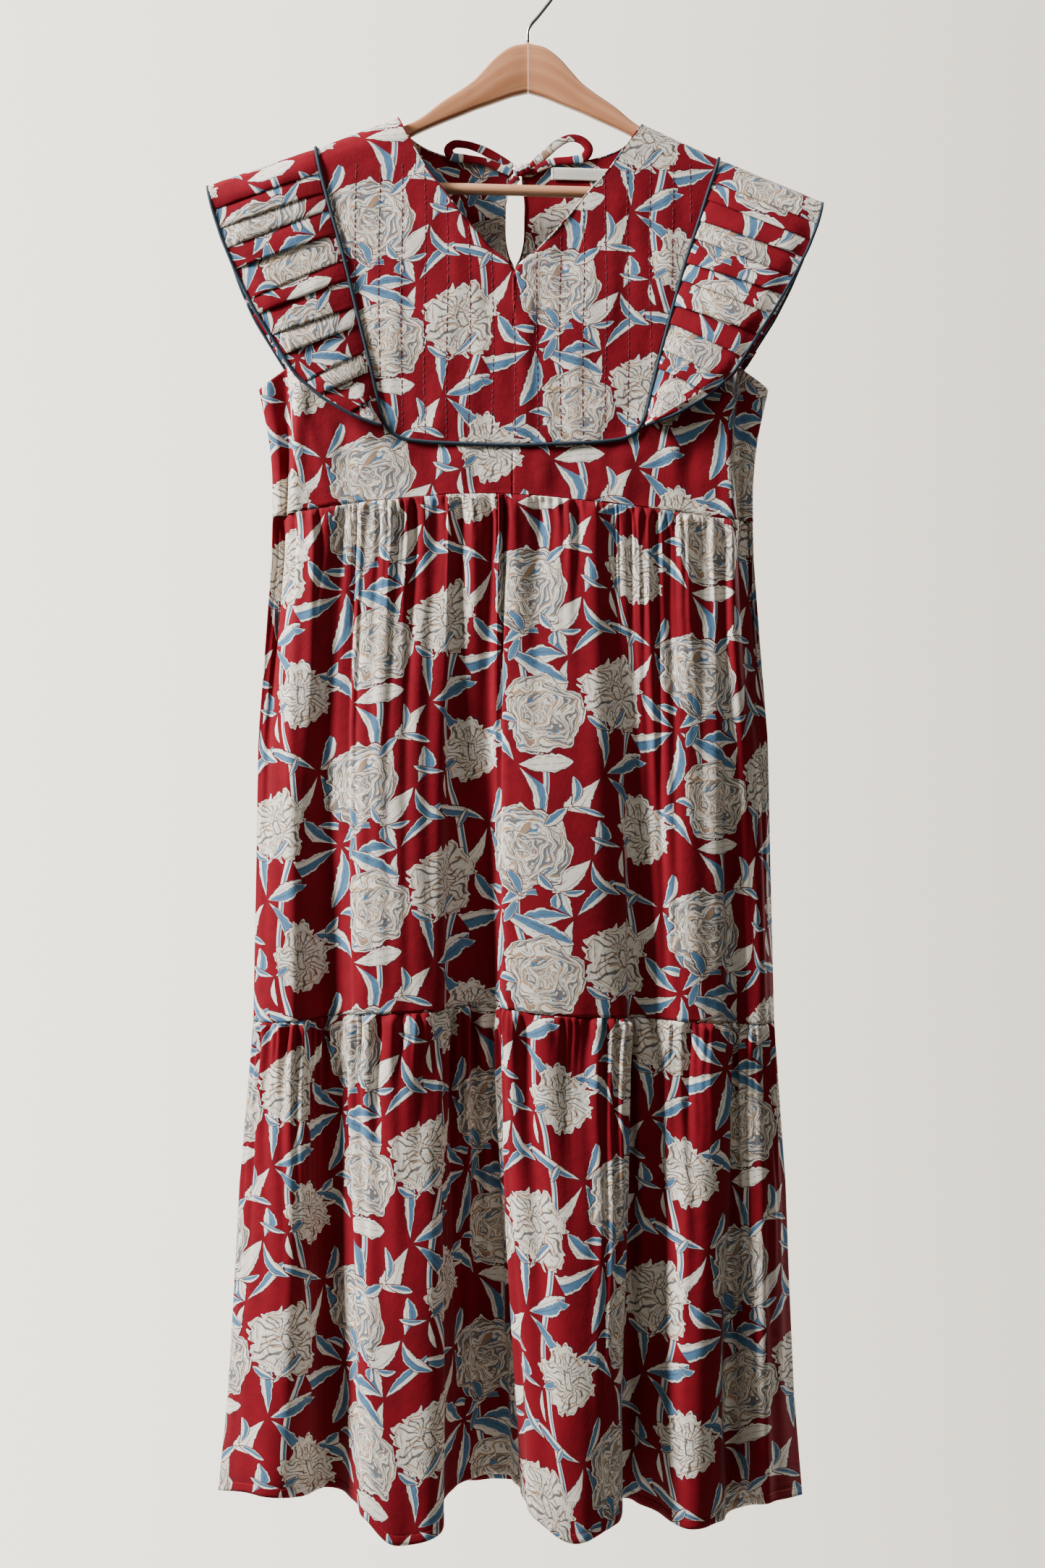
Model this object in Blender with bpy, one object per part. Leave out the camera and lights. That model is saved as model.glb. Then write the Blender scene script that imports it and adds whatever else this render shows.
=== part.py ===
import math

import bmesh
import bpy
from mathutils import Vector

# Yoke dress on a wooden hanger. The tables are in millimetres and turned to metres when a
# point is placed. The origin is the inner top of the hanger's hook, the front faces -Y.
# A "half" is a distance from the dress's own middle line, the same on both sides.
MM = 0.001
SEAM_GAP = 0.4
CLEAR = 0.3

# Cloth walls
PANEL_WALL = 1.5
FLANGE_WALL = 1.2
LABEL_WALL = 0.8

# How the dress hangs: its middle lies left of the hook, and its right shoulder droops.
# Columns: height, middle
MIDDLE = [(-1350, -15), (-930, -12), (-490, -13.5), (-380, -12.5), (-215, -11.3), (-177, -9.3), (-147, -6.7)]
DROOP = 0.027
DROOP_FULL_Z = -220
DROOP_END_Z = -330

# Hanger
ARM_SWEEP = 14 / 220
ARM_THICK = 11.4
ARM_EDGE = 3
# Columns: distance from the mitre, top, bottom
ARM_PROFILE = [
    (0.15, -77, -120),
    (14, -80, -124),
    (28, -90, -129.5),
    (38, -101, -133.5),
    (47, -111, -137),
    (58, -119.5, -142),
    (75, -131, -149.5),
    (95, -147, -159),
    (103, -151.6, -163),
    (114, -156.6, -169),
    (140, -168.4, -182),
    (167, -180.9, -195),
    (183.6, -187, -201),
    (184, -187.2, -214),
    (200, -194.5, -214),
    (208, -201, -209),
]
BAR_HALF = 183.3
BAR_Z = -208.6
BAR_RADIUS = 5
BAR_SIDES = 12
WIRE_RADIUS = 1.5
HOOK_RADIUS = 25
HOOK_TIP_ANGLE = 205
HOOK_LEAVES_ANGLE = -38
HOOK_ARC_STEPS = 15
STEM_ROUTE = [(13.5, -46.8), (7, -54.8), (2.6, -59.8), (0.5, -64), (0, -69), (0, -76.3)]

# Neck, yoke and shoulders. A row runs from the yoke's side seam to the neck, slit or middle.
# Columns: seam half, seam height, inner half, inner height, way down from the shoulder line
FRONT_YOKE = [
    (176.4, -177.6, 107.3, -147.3, 0),
    (176.4, -177.6, 107.3, -147.3, 0),
    (175.8, -180.1, 105.9, -149.8, 2.5),
    (174.0, -187.0, 101.8, -157.0, 9),
    (168.5, -206, 91.6, -173, 26),
    (159.5, -237, 80.3, -191, 50),
    (150.0, -268, 63.3, -211.5, 70),
    (141.5, -300, 43.3, -236.7, 90),
    (133.5, -331, 23.6, -259, 110),
    (125.8, -361, 0, -282, 130),
    (119.5, -388, 0, -330, 150),
    (112.8, -412.6, 0, -385, 170),
    (107.0, -421.8, 0, -434, 190),
]
BACK_YOKE = [
    (176.4, -177.6, 107.3, -147.3, 0),
    (176.4, -177.6, 107.3, -147.3, 0),
    (175.8, -180.1, 104.6, -150.8, 2.5),
    (174.0, -187.0, 98.5, -158.5, 9),
    (168.5, -206, 84, -168.5, 26),
    (164.0, -221, 66, -175, 40),
    (159.5, -237, 44, -178.8, 50),
    (154.8, -252, 24, -180, 60),
    (150.0, -268, 9.8, -180.5, 70),
    (141.5, -300, 8.8, -222, 90),
    (133.5, -331, 6.5, -258, 110),
    (125.8, -361, 0, -274, 130),
    (119.5, -388, 0, -330, 150),
    (112.8, -412.6, 0, -385, 170),
    (107.0, -421.8, 0, -434, 190),
]
# Columns: half, height, from the rounded corner to the middle
YOKE_BOTTOM = [(107.0, -421.8), (98.3, -427), (81, -430.3), (56, -432), (28, -433.2), (0, -434)]

# How far the cloth stands in front of the hanger's plane and behind it
# Columns: height, depth
FRONT_DEPTH = [(-500, -33), (-430, -28.5), (-330, -28), (-200, -24), (-147, -23)]
BACK_DEPTH = [(-500, 13), (-330, 11), (-147, 8)]
SIDE_BACKING = 3
SIDE_HALF = 180
FOLD_OVER = 4.2

# Bodice. The armhole's edge runs from the underarm to the yoke seam, beneath the flange.
# Columns: half, height
ARMHOLE = [(224, -382), (216, -376), (200.5, -363.5), (187, -345), (174, -322), (161.5, -294)]
APEX_ROW_Z = -268
# Columns: height, half
SIDE_LINE = [
    (-1348, 256.5), (-1263, 249), (-1166, 244), (-1073, 240), (-995, 234), (-930, 229), (-790, 226),
    (-680, 224), (-590, 217), (-521, 212), (-478, 211), (-436, 213), (-407, 218.5), (-382, 224),
]
# The side of the front turns back in a groove before the side seam.
# Columns: half at the waist, depth at the top, depth at the waist
SIDE_TURN = [(211, -4, -4), (204, -9, -9), (199.5, -5, -4), (193, -25, -29)]
BODICE_STEPS = [0, 0.14, 0.34, 0.58, 0.8, 1]
# Columns: place across, height
WAIST_LINE = [(-208, -493), (-148, -484), (-58, -475.5), (2, -477), (93, -487), (161, -497), (180, -498)]
TIER_LINE = [
    (-240, -936), (-209, -935), (-155, -928), (-83, -925), (-40, -920), (22, -928), (112, -932),
    (187, -937), (212, -937),
]

# Skirt folds of the front, one row for each rise and fall
# Columns: waist across, waist depth, tier across, tier depth, hem across, hem depth, hem height
FRONT_FOLDS = [
    (-223.5, -9, -240.5, -12, -270.5, -14, -1346),
    (-213, -5, -230, -27, -249, -50, -1338),
    (-205, -28, -209, -38, -217, -67, -1338),
    (-192, -32, -193, -35, -189, -56, -1340),
    (-172, -32, -175, -24, -169, -28, -1341),
    (-155, -32, -158, -30, -152, -42, -1343),
    (-140, -33, -146, -45, -139, -86, -1350),
    (-112, -34, -118, -50, -113, -98, -1369),
    (-78, -33, -80, -46, -77, -90, -1362),
    (-62, -33, -64, -31, -63, -42, -1341),
    (-46, -33, -46, -24, -41, -26, -1332),
    (-28, -33, -28, -31, -15, -36, -1331),
    (-14, -33, -17, -45, 2, -84, -1343),
    (26, -34, 30, -52, 36, -108, -1365),
    (66, -33, 76, -45, 69, -88, -1353),
    (82, -33, 94, -29, 86, -38, -1349),
    (98, -33, 110, -36, 105, -56, -1352),
    (124, -33, 135, -44, 134, -84, -1359),
    (150, -33, 160, -38, 160, -72, -1357),
    (166, -32, 180, -24, 177, -32, -1361),
    (180, -28, 193, -31, 191, -46, -1350),
    (190, -5, 205, -30, 207, -58, -1345),
    (196.5, -9, 215.5, -12, 239.5, -14, -1350),
]
# Skirt folds of the back
BACK_FOLDS = [
    (-223.5, 8, -240.5, 9, -270.5, 12, -1346),
    (-206, 13, -214, 17, -236, 27, -1349),
    (-160, 14, -170, 13, -190, 16, -1345),
    (-115, 14, -118, 20, -132, 34, -1350),
    (-62, 14, -66, 14, -72, 18, -1346),
    (-14, 14, -12, 21, -12, 37, -1351),
    (36, 14, 42, 14, 52, 19, -1347),
    (84, 14, 92, 20, 108, 35, -1352),
    (130, 14, 146, 13, 160, 17, -1348),
    (176, 13, 188, 17, 204, 28, -1353),
    (196.5, 8, 215.5, 9, 239.5, 12, -1350),
]
FRONT_GATHERS = 35
BACK_GATHERS = 31
GATHER_RISE = 2.2
GATHER_LENGTH = 120
SIDE_STRIP = 4
UPPER_STEPS = [0, 0.045, 0.13, 0.28, 0.52, 0.76, 1]
LOWER_STEPS = [0, 0.05, 0.14, 0.3, 0.52, 0.76, 1]

# Pleated flange, one a side, folded over the shoulder
# Columns: seam height, edge half, edge height
FLANGE_EDGE = [
    (-414, 114.5, -417.5),
    (-395, 139, -409),
    (-370, 168, -392),
    (-345, 190.5, -371.5),
    (-315, 209, -342),
    (-285, 226, -315),
    (-255, 241, -287),
    (-225, 254, -259),
    (-200, 262.5, -235),
    (-177.6, 268.2, -213),
]
FLANGE_PLEATS = 10
FLANGE_TOP_Z = -196
FLANGE_ACROSS = [0, 0.12, 0.42, 0.74, 1]
FLANGE_FROM_SEAM = 2.3
FLANGE_LIFT = 1.9
FLANGE_FLARE = 7
PLEAT_RISE = 3.4
PLEAT_TURN = 0.82
OVER_SHOULDER = [10, 3, 0, 3, 10]
BACK_FLANGE_MORE = 5

PIPING_RADIUS = 1.5
PIPING_SIDES = 6

# Tie and label at the back neck
TIE_WIDTH = 5.2
TIE_THICK = 1.6
TIE_DEPTH = 5.8
LOOP_LEFT = [
    (-13.0, -183.6), (-25.9, -176.5), (-41.9, -168), (-57, -163.6), (-66, -163.8), (-70.5, -168.5),
    (-68, -173.8), (-57, -176), (-38, -178.9), (-24, -184.2), (-13.0, -189.4),
]
LOOP_RIGHT = [
    (2.0, -183.6), (14, -173.4), (26, -163.2), (38, -158), (48, -160.5), (53.6, -168), (50, -175),
    (39, -177.4), (22, -179.2), (11, -183.6), (2.0, -188.8),
]
TAIL = [(-8.8, -191.7), (-13.4, -198), (-16.5, -203)]
KNOT_MIDDLE = (-5.4, -186.4)
KNOT_HALF = (7.2, 5.8, 2.4)
KNOT_DEPTH = 4.3
KNOT_RINGS = (0.1, 0.25, 0.5, 0.75, 0.9)
# Columns: left, right, top, bottom
LABEL_BOX = (20.5, 73, -183.2, -194.2)


def read(table, at):
    """The second column of a table at a place in its first, which rises."""
    if at <= table[0][0]:
        return table[0][1]
    for low, high in zip(table, table[1:]):
        if at <= high[0]:
            share = (at - low[0]) / (high[0] - low[0])
            return low[1] + share * (high[1] - low[1])
    return table[-1][1]


def mix(a, b, share):
    return a + (b - a) * share


def ease(share):
    share = min(max(share, 0), 1)
    return share * share * (3 - 2 * share)


def drooped(x, z):
    """A height, lowered on the right as the hanger tilts."""
    return z - DROOP * x * ease((z - DROOP_END_Z) / (DROOP_FULL_Z - DROOP_END_Z))


def dress_point(half, y, z, side=1):
    """A point of the dress, in metres. Side is -1 on the left and 1 on the right."""
    x = side * half + read(MIDDLE, z)
    return Vector((x, y, drooped(x, z))) * MM


def plain_point(x, y, z):
    """A point placed from the hook's own middle line, in metres."""
    return Vector((x, y, drooped(x, z))) * MM


def line_depth(half):
    """The depth of the shoulder line, which follows the arms as they sweep forward."""
    return -ARM_SWEEP * half


def flat_depth(half, z, face):
    """The depth of the yoke and the bodice away from the shoulder. Face is -1 in front."""
    if face < 0:
        return read(FRONT_DEPTH, z) + SIDE_BACKING * (half / SIDE_HALF) ** 2
    return read(BACK_DEPTH, z)


def shoulder_depth(half, z, down, face):
    """The depth of cloth that comes over the arm and settles as it goes down."""
    share = 1 - math.exp(-down / FOLD_OVER)
    return mix(line_depth(half), flat_depth(half, z, face), share)


def new_material(name, colour, roughness, metallic=0):
    material = bpy.data.materials.new(name)
    material.use_nodes = True
    shader = material.node_tree.nodes["Principled BSDF"]
    shader.inputs["Base Color"].default_value = (*colour, 1)
    shader.inputs["Roughness"].default_value = roughness
    shader.inputs["Metallic"].default_value = metallic
    return material


def new_object(name, mesh_builder, material):
    mesh = bpy.data.meshes.new(name)
    mesh_builder.to_mesh(mesh)
    mesh_builder.free()
    mesh.materials.append(material)
    made = bpy.data.objects.new(name, mesh)
    bpy.context.scene.collection.objects.link(made)
    return made


def grid_faces(builder, rows):
    """Fills a grid of points with faces."""
    made = [[builder.verts.new(point) for point in row] for row in rows]
    for upper, lower in zip(made, made[1:]):
        for near in range(len(upper) - 1):
            builder.faces.new((upper[near], upper[near + 1], lower[near + 1], lower[near]))


def cloth(name, grids, wall, material, outward):
    """One cloth piece: grids of points on its outer face, joined where they meet, with a
    wall behind them. Outward is a direction that the outer face looks in."""
    builder = bmesh.new()
    for rows in grids:
        grid_faces(builder, rows)
    bmesh.ops.remove_doubles(builder, verts=builder.verts, dist=0.01 * MM)
    bmesh.ops.recalc_face_normals(builder, faces=builder.faces)
    facing = sum((face.normal * face.calc_area() for face in builder.faces), Vector())
    if facing.dot(outward) < 0:
        bmesh.ops.reverse_faces(builder, faces=builder.faces)
    made = new_object(name, builder, material)
    made.data.shade_smooth()
    solidify = made.modifiers.new("wall", "SOLIDIFY")
    solidify.thickness = wall * MM
    solidify.offset = -1
    solidify.use_even_offset = True
    return made


def loft(name, rings, material, smooth_angle=0.6):
    """A closed body through rings of points, each with the same number of points."""
    builder = bmesh.new()
    made = [[builder.verts.new(point) for point in ring] for ring in rings]
    for near, far in zip(made, made[1:]):
        for at in range(len(near)):
            after = (at + 1) % len(near)
            builder.faces.new((near[at], near[after], far[after], far[at]))
    builder.faces.new(list(reversed(made[0])))
    builder.faces.new(made[-1])
    bmesh.ops.recalc_face_normals(builder, faces=builder.faces)
    made_object = new_object(name, builder, material)
    made_object.data.shade_smooth()
    made_object.data.set_sharp_from_angle(angle=smooth_angle)
    return made_object


def frames(path):
    """For each point of a path, two directions square to it that don't twist."""
    found = []
    side = None
    for at, point in enumerate(path):
        before = path[max(at - 1, 0)]
        after = path[min(at + 1, len(path) - 1)]
        along = (after - before).normalized()
        if side is None:
            side = along.cross(Vector((0, 1, 0)))
            if side.length < 0.1:
                side = along.cross(Vector((1, 0, 0)))
        side = (side - along * side.dot(along)).normalized()
        found.append((point, side, along.cross(side)))
    return found


def tube(name, path, across, through, sides, material):
    """A rod along a path, as wide as across and as thick as through, in metres."""
    rings = []
    for point, side, other in frames(path):
        ring = []
        for at in range(sides):
            angle = math.tau * (at + 0.5) / sides
            ring.append(point + side * (math.cos(angle) * across) + other * (math.sin(angle) * through))
        rings.append(ring)
    return loft(name, rings, material)


def seam_normals(points):
    """Directions in the (half, height) plane that look out of the yoke along its seam."""
    found = []
    for at in range(len(points)):
        before = points[max(at - 1, 0)]
        after = points[min(at + 1, len(points) - 1)]
        run = (after[0] - before[0], after[1] - before[1])
        length = math.hypot(*run)
        found.append((-run[1] / length, run[0] / length))
    return found


def yoke_seam(table):
    """The seam round one half of a yoke, from the shoulder to the middle of the bottom."""
    sides = [(row[0], row[1], row[4]) for row in table[1:-1]]
    return sides + [(half, z, table[-1][4]) for half, z in YOKE_BOTTOM]


def moved_seam(table, way):
    """The seam moved square to itself by a distance, outwards where that is positive."""
    seam = yoke_seam(table)
    moved = []
    for (half, z, down), normal in zip(seam, seam_normals(seam)):
        moved.append((max(half + way * normal[0], 0), z + way * normal[1], down))
    moved[0] = (seam[0][0] + way, seam[0][1], 0)
    moved[-1] = (0, seam[-1][1] - way, seam[-1][2])
    return moved


def yoke_grid(table, face, side):
    """One half of a yoke. The first row lies on the shoulder line, the second just off it."""
    seam = moved_seam(table, -SEAM_GAP / 2)
    shares = [1 - half / YOKE_BOTTOM[0][0] for half, _ in YOKE_BOTTOM]
    last = len(table) - 1
    rows = []
    for number, (_, _, inner_half, inner_z, down) in enumerate(table):
        row = []
        edge_half, edge_z, _ = seam[max(number - 1, 0)]
        for at, share in enumerate(shares):
            if number == last:
                half, z, _ = seam[last - 1 + at]
            else:
                half = mix(edge_half, inner_half, share)
                z = mix(edge_z, inner_z, share)
            if number == 0:
                y = line_depth(half) + face * SEAM_GAP / 2
            elif number == 1:
                y = line_depth(half) + face * 3
            else:
                y = shoulder_depth(half, z, down + 1.5, face)
            row.append(dress_point(half, y, z, side))
        rows.append(row)
    return rows


def make_yoke(name, table, face, material):
    grids = [yoke_grid(table, face, side) for side in (-1, 1)]
    return cloth(name, grids, PANEL_WALL, material, Vector((0, face, 0)))


def bodice_top(table):
    """The bodice's upper edge on one side, from the underarm to the middle."""
    seam = moved_seam(table, SEAM_GAP / 2)
    below = [(half, z) for half, z, _ in seam if z <= APEX_ROW_Z + 1]
    return ARMHOLE + below


def bodice_grid(table, face, side):
    """One half of a bodice: each column falls from the upper edge to the waist seam."""
    top = bodice_top(table)
    turns = len(SIDE_TURN)
    columns = []
    for at, (top_half, top_z) in enumerate(top):
        if at < turns:
            low_half, top_y, low_y = SIDE_TURN[at]
            if face > 0:
                low_half = mix(SIDE_TURN[0][0], SIDE_TURN[-1][0], at / (turns - 1))
                top_y = low_y = mix(4, flat_depth(top_half, top_z, face), ease(at / (turns - 1)))
        else:
            low_half = top_half * SIDE_TURN[-1][0] / ARMHOLE[turns - 1][0]
        column = []
        for share in BODICE_STEPS:
            low_x = side * low_half + read(MIDDLE, -490)
            low_z = read(WAIST_LINE, low_x) + SEAM_GAP / 2
            z = mix(top_z, low_z, share)
            half = mix(top_half, low_half, share)
            if at < turns:
                straight = mix(ARMHOLE[0][0], SIDE_TURN[0][0], share)
                half += (read(SIDE_LINE, z) - straight) * (1 - at / turns)
                y = mix(top_y, low_y, share)
            else:
                y = flat_depth(half, z, face)
            column.append(dress_point(half, y, z, side))
        columns.append(column)
    # The side seam's own strip runs straight from front to back.
    first = [Vector((point.x, face * SEAM_GAP / 2 * MM, point.z)) for point in columns[0]]
    columns.insert(0, first)
    return [list(row) for row in zip(*columns)]


def waist_seam(table, face):
    """The waist seam as the bodice's lower edge draws it: places across and heights."""
    points = []
    for side in (-1, 1):
        lowest = bodice_grid(table, face, side)[-1][1:]
        points += [(point.x / MM, point.z / MM - SEAM_GAP / 2) for point in lowest]
    return sorted(set(points))


def make_bodice(name, table, face, material):
    grids = [bodice_grid(table, face, side) for side in (-1, 1)]
    return cloth(name, grids, PANEL_WALL, material, Vector((0, face, 0)))


def smooth_through(values, at):
    """A smooth curve through evenly spaced values, at a place counted in values."""
    low = min(max(int(at), 0), len(values) - 2)
    share = at - low
    before = values[max(low - 1, 0)]
    start = values[low]
    end = values[low + 1]
    after = values[min(low + 2, len(values) - 1)]
    rise = (end - before) / 2
    fall = (after - start) / 2
    square = share * share
    cube = square * share
    return (
        start * (2 * cube - 3 * square + 1)
        + rise * (cube - 2 * square + share)
        + end * (3 * square - 2 * cube)
        + fall * (cube - square)
    )


def even_places(xs, ys, count):
    """Places along a smooth curve through stations, evenly far apart along it."""
    fine = 20 * (len(xs) - 1)
    lengths = [0]
    for at in range(1, fine + 1):
        here = at / 20
        last = (at - 1) / 20
        step = math.hypot(
            smooth_through(xs, here) - smooth_through(xs, last),
            smooth_through(ys, here) - smooth_through(ys, last),
        )
        lengths.append(lengths[-1] + step)
    places = []
    for number in range(count + 1):
        wanted = lengths[-1] * number / count
        at = next(k for k in range(fine + 1) if lengths[k] >= wanted - 1e-9)
        if at == 0:
            places.append(0)
            continue
        share = (wanted - lengths[at - 1]) / (lengths[at] - lengths[at - 1])
        places.append((at - 1 + share) / 20)
    return places


def skirt_columns(folds, gathers):
    """Where the columns of a skirt panel lie, counted in folds, two for each gather."""
    xs = [(row[2] + row[4]) / 2 for row in folds]
    ys = [(row[3] + row[5]) / 2 for row in folds]
    return even_places(xs, ys, 2 * gathers)


def skirt_section(folds, tier, share, z):
    """The plan of a skirt panel part of the way down a tier, widened to the side outline."""
    first = 2 * tier
    xs = [mix(row[first], row[first + 2], share) for row in folds]
    ys = [mix(row[first + 1], row[first + 3], ease(share)) for row in folds]
    half = (xs[-1] - xs[0]) / 2
    middle = (xs[-1] + xs[0]) / 2
    wanted = read(SIDE_LINE, z) - 1
    return [middle + (x - middle) * wanted / half for x in xs], ys


def skirt_rows(folds, gathers, tier, steps, face):
    """One skirt panel: tier 0 hangs from the waist seam and tier 1 from the seam below."""
    places = skirt_columns(folds, gathers)
    waist = waist_seam(FRONT_YOKE if face < 0 else BACK_YOKE, face)
    top_line, low_line = ((waist, TIER_LINE), (TIER_LINE, None))[tier]
    hems = [row[6] for row in folds]
    rows = []
    for share in steps:
        middle_z = mix((-486, -929)[tier], (-929, -1348)[tier], share)
        xs, ys = skirt_section(folds, tier, share, middle_z)
        row = []
        for number, place in enumerate(places):
            x = smooth_through(xs, place)
            y = smooth_through(ys, place)
            ahead = min(place + 0.1, len(xs) - 1)
            behind = max(place - 0.1, 0)
            run_x = smooth_through(xs, ahead) - smooth_through(xs, behind)
            run_y = smooth_through(ys, ahead) - smooth_through(ys, behind)
            length = math.hypot(run_x, run_y)
            top_z = read(top_line, x) - SEAM_GAP / 2
            low_z = smooth_through(hems, place) if low_line is None else read(low_line, x) + SEAM_GAP / 2
            z = mix(top_z, low_z, share)
            edge = min(number, len(places) - 1 - number)
            rise = GATHER_RISE * math.exp((z - top_z) / GATHER_LENGTH) * min(edge / 2, 1)
            rise *= (1, -1)[number % 2] * (0.8 + 0.2 * math.sin(number * 1.7))
            x += face * rise * -run_y / length
            y += face * rise * run_x / length
            row.append(Vector((x, y, z)) * MM)
        for end, out in ((0, -1), (-1, 1)):
            seam = row[end]
            depths = (face * SIDE_STRIP, face * SEAM_GAP / 2)
            strip = [Vector((seam.x + out * MM, y * MM, seam.z)) for y in depths]
            row = list(reversed(strip)) + row if end == 0 else row + strip
        rows.append(row)
    return rows


def make_skirt(name, folds, gathers, tier, steps, face, material):
    rows = skirt_rows(folds, gathers, tier, steps, face)
    return cloth(name, [rows], PANEL_WALL, material, Vector((0, face, 0)))


def seam_at(table, z):
    """The yoke seam's half at a height, along its straight stretches."""
    rows = sorted({(row[1], row[0]) for row in table})
    return read(rows, z)


def flange_stations():
    """Seam height and pleat rise for one wing, from its lower end to the shoulder."""
    low_z = FLANGE_EDGE[0][0]
    found = []
    for pleat in range(FLANGE_PLEATS):
        for turn, rise in ((0, 0), (PLEAT_TURN, 1)):
            share = (pleat + turn) / FLANGE_PLEATS
            found.append((mix(low_z, FLANGE_TOP_Z, share), rise))
    return found


def wing_point(table, z, rise, share, face, side):
    """A point of a flange's wing: across it by share, at a station on the seam."""
    seam_half = seam_at(table, z) + FLANGE_FROM_SEAM
    edge_half = read([(row[0], row[1]) for row in FLANGE_EDGE], z)
    edge_z = read([(row[0], row[2]) for row in FLANGE_EDGE], z)
    if face > 0:
        edge_half += BACK_FLANGE_MORE * ease((-200 - z) / 100) * ease((z + 414) / 60)
    half = mix(seam_half, edge_half, share)
    height = mix(z, edge_z, share)
    down = FLANGE_EDGE[-1][0] - z
    lift = FLANGE_LIFT + FLANGE_FLARE * share + PLEAT_RISE * rise * mix(0.35, 1, min(share * 3, 1))
    flat = flat_depth(min(seam_half, SIDE_HALF), height, face) + face * lift
    y = mix(line_depth(half), flat, 1 - math.exp(-down / FOLD_OVER))
    return dress_point(half, y, height + CLEAR * math.exp(-down / FOLD_OVER), side)


def flange_rows(side):
    """Both wings of one flange, from the front's lower end over the shoulder to the back's."""
    stations = [(FRONT_YOKE, z, rise, -1) for z, rise in flange_stations()]
    for number, down in enumerate(OVER_SHOULDER):
        face = -1 if number <= 2 else 1
        stations.append((FRONT_YOKE if face < 0 else BACK_YOKE, FLANGE_EDGE[-1][0] - down, 0, face))
    stations += [(BACK_YOKE, z, rise, 1) for z, rise in reversed(flange_stations())]
    rows = []
    for table, z, rise, face in stations:
        rows.append([wing_point(table, z, rise, share, face, side) for share in FLANGE_ACROSS])
    return rows


def make_flange(name, side, material):
    rows = flange_rows(side)
    made = cloth(name, [rows], FLANGE_WALL, material, Vector((0, 0, 1)))
    edge = []
    for at, row in enumerate(rows):
        run = rows[min(at + 1, len(rows) - 1)][-1] - rows[max(at - 1, 0)][-1]
        run.normalize()
        out = row[-1] - row[-2]
        out = (out - run * out.dot(run)).normalized()
        edge.append(row[-1] + out * (PIPING_RADIUS + CLEAR) * MM)
    return made, edge


def yoke_piping_path(table, face):
    """The line of the yoke's piping: its seam, moved out of the cloth's face."""
    lift = PIPING_RADIUS + CLEAR
    seam = yoke_seam(table)
    path = []
    for side in (-1, 1):
        half_path = []
        for number, (half, z, down) in enumerate(seam):
            if number == 0:
                half_path.append(dress_point(half, line_depth(half) + face * SEAM_GAP / 2, z + lift, side))
                half_path.append(dress_point(half, line_depth(half) + face * 3.4, z + lift, side))
                continue
            y = shoulder_depth(half, z, down + 1.5, face)
            up = lift * math.exp(-down / FOLD_OVER)
            half_path.append(dress_point(half, y + face * lift, z + up, side))
        path += half_path if side < 0 else list(reversed(half_path))[1:]
    return path


def make_hanger(wood, wire):
    half_thick = ARM_THICK / 2
    for name, side in (("hanger_arm_left", -1), ("hanger_arm_right", 1)):
        rings = []
        for away, top, bottom in ARM_PROFILE:
            middle = line_depth(away)
            edge = min(ARM_EDGE, (top - bottom) / 3)
            ring = []
            for y, z in (
                (-half_thick, top - edge),
                (-half_thick + edge, top),
                (half_thick - edge, top),
                (half_thick, top - edge),
                (half_thick, bottom + edge),
                (half_thick - edge, bottom),
                (-half_thick + edge, bottom),
                (-half_thick, bottom + edge),
            ):
                ring.append(plain_point(side * away, middle + y, z))
            rings.append(ring)
        loft(name, rings, wood)
    ends = [plain_point(x, line_depth(BAR_HALF), BAR_Z) for x in (-BAR_HALF, BAR_HALF)]
    tube("hanger_bar", ends, BAR_RADIUS * MM, BAR_RADIUS * MM, BAR_SIDES, wood)

    middle_z = WIRE_RADIUS - HOOK_RADIUS
    route = []
    for step in range(HOOK_ARC_STEPS + 1):
        angle = math.radians(mix(HOOK_TIP_ANGLE, HOOK_LEAVES_ANGLE, step / HOOK_ARC_STEPS))
        route.append((HOOK_RADIUS * math.cos(angle), middle_z + HOOK_RADIUS * math.sin(angle)))
    route += STEM_ROUTE
    curve = bpy.data.curves.new("hanger_hook", "CURVE")
    curve.dimensions = "3D"
    curve.bevel_depth = WIRE_RADIUS * MM
    curve.bevel_resolution = 2
    curve.use_fill_caps = True
    spline = curve.splines.new("POLY")
    spline.points.add(len(route) - 1)
    for point, (x, z) in zip(spline.points, route):
        point.co = (x * MM, 0, z * MM, 1)
    curve.materials.append(wire)
    hook = bpy.data.objects.new("hanger_hook", curve)
    bpy.context.scene.collection.objects.link(hook)


def make_tie(material):
    for name, points in (("tie_loop_left", LOOP_LEFT), ("tie_loop_right", LOOP_RIGHT), ("tie_tail", TAIL)):
        path = [Vector((x, TIE_DEPTH, z)) * MM for x, z in points]
        tube(name, path, TIE_WIDTH / 2 * MM, TIE_THICK / 2 * MM, 6, material)
    rings = []
    for share in KNOT_RINGS:
        swell = math.sqrt(share * (1 - share)) * 2
        ring = []
        for at in range(8):
            angle = math.tau * at / 8
            ring.append(
                Vector(
                    (
                        KNOT_MIDDLE[0] + KNOT_HALF[0] * (2 * share - 1),
                        KNOT_DEPTH + KNOT_HALF[2] * swell * math.cos(angle),
                        KNOT_MIDDLE[1] + KNOT_HALF[1] * swell * math.sin(angle),
                    )
                )
                * MM
            )
        rings.append(ring)
    loft("tie_knot", rings, material)


def make_label(material):
    """The neck label, on the inner face of the back yoke."""
    left, right, top, bottom = LABEL_BOX
    rows = []
    for z in (top, bottom):
        row = []
        for share in (0, 1):
            half = mix(left, right, share) - read(MIDDLE, z)
            y = shoulder_depth(half, z, 60, 1) - PANEL_WALL - CLEAR
            row.append(dress_point(half, y - 0.6, z))
        rows.append(row)
    cloth("neck_label", [rows], LABEL_WALL, material, Vector((0, 1, 0)))


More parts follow.
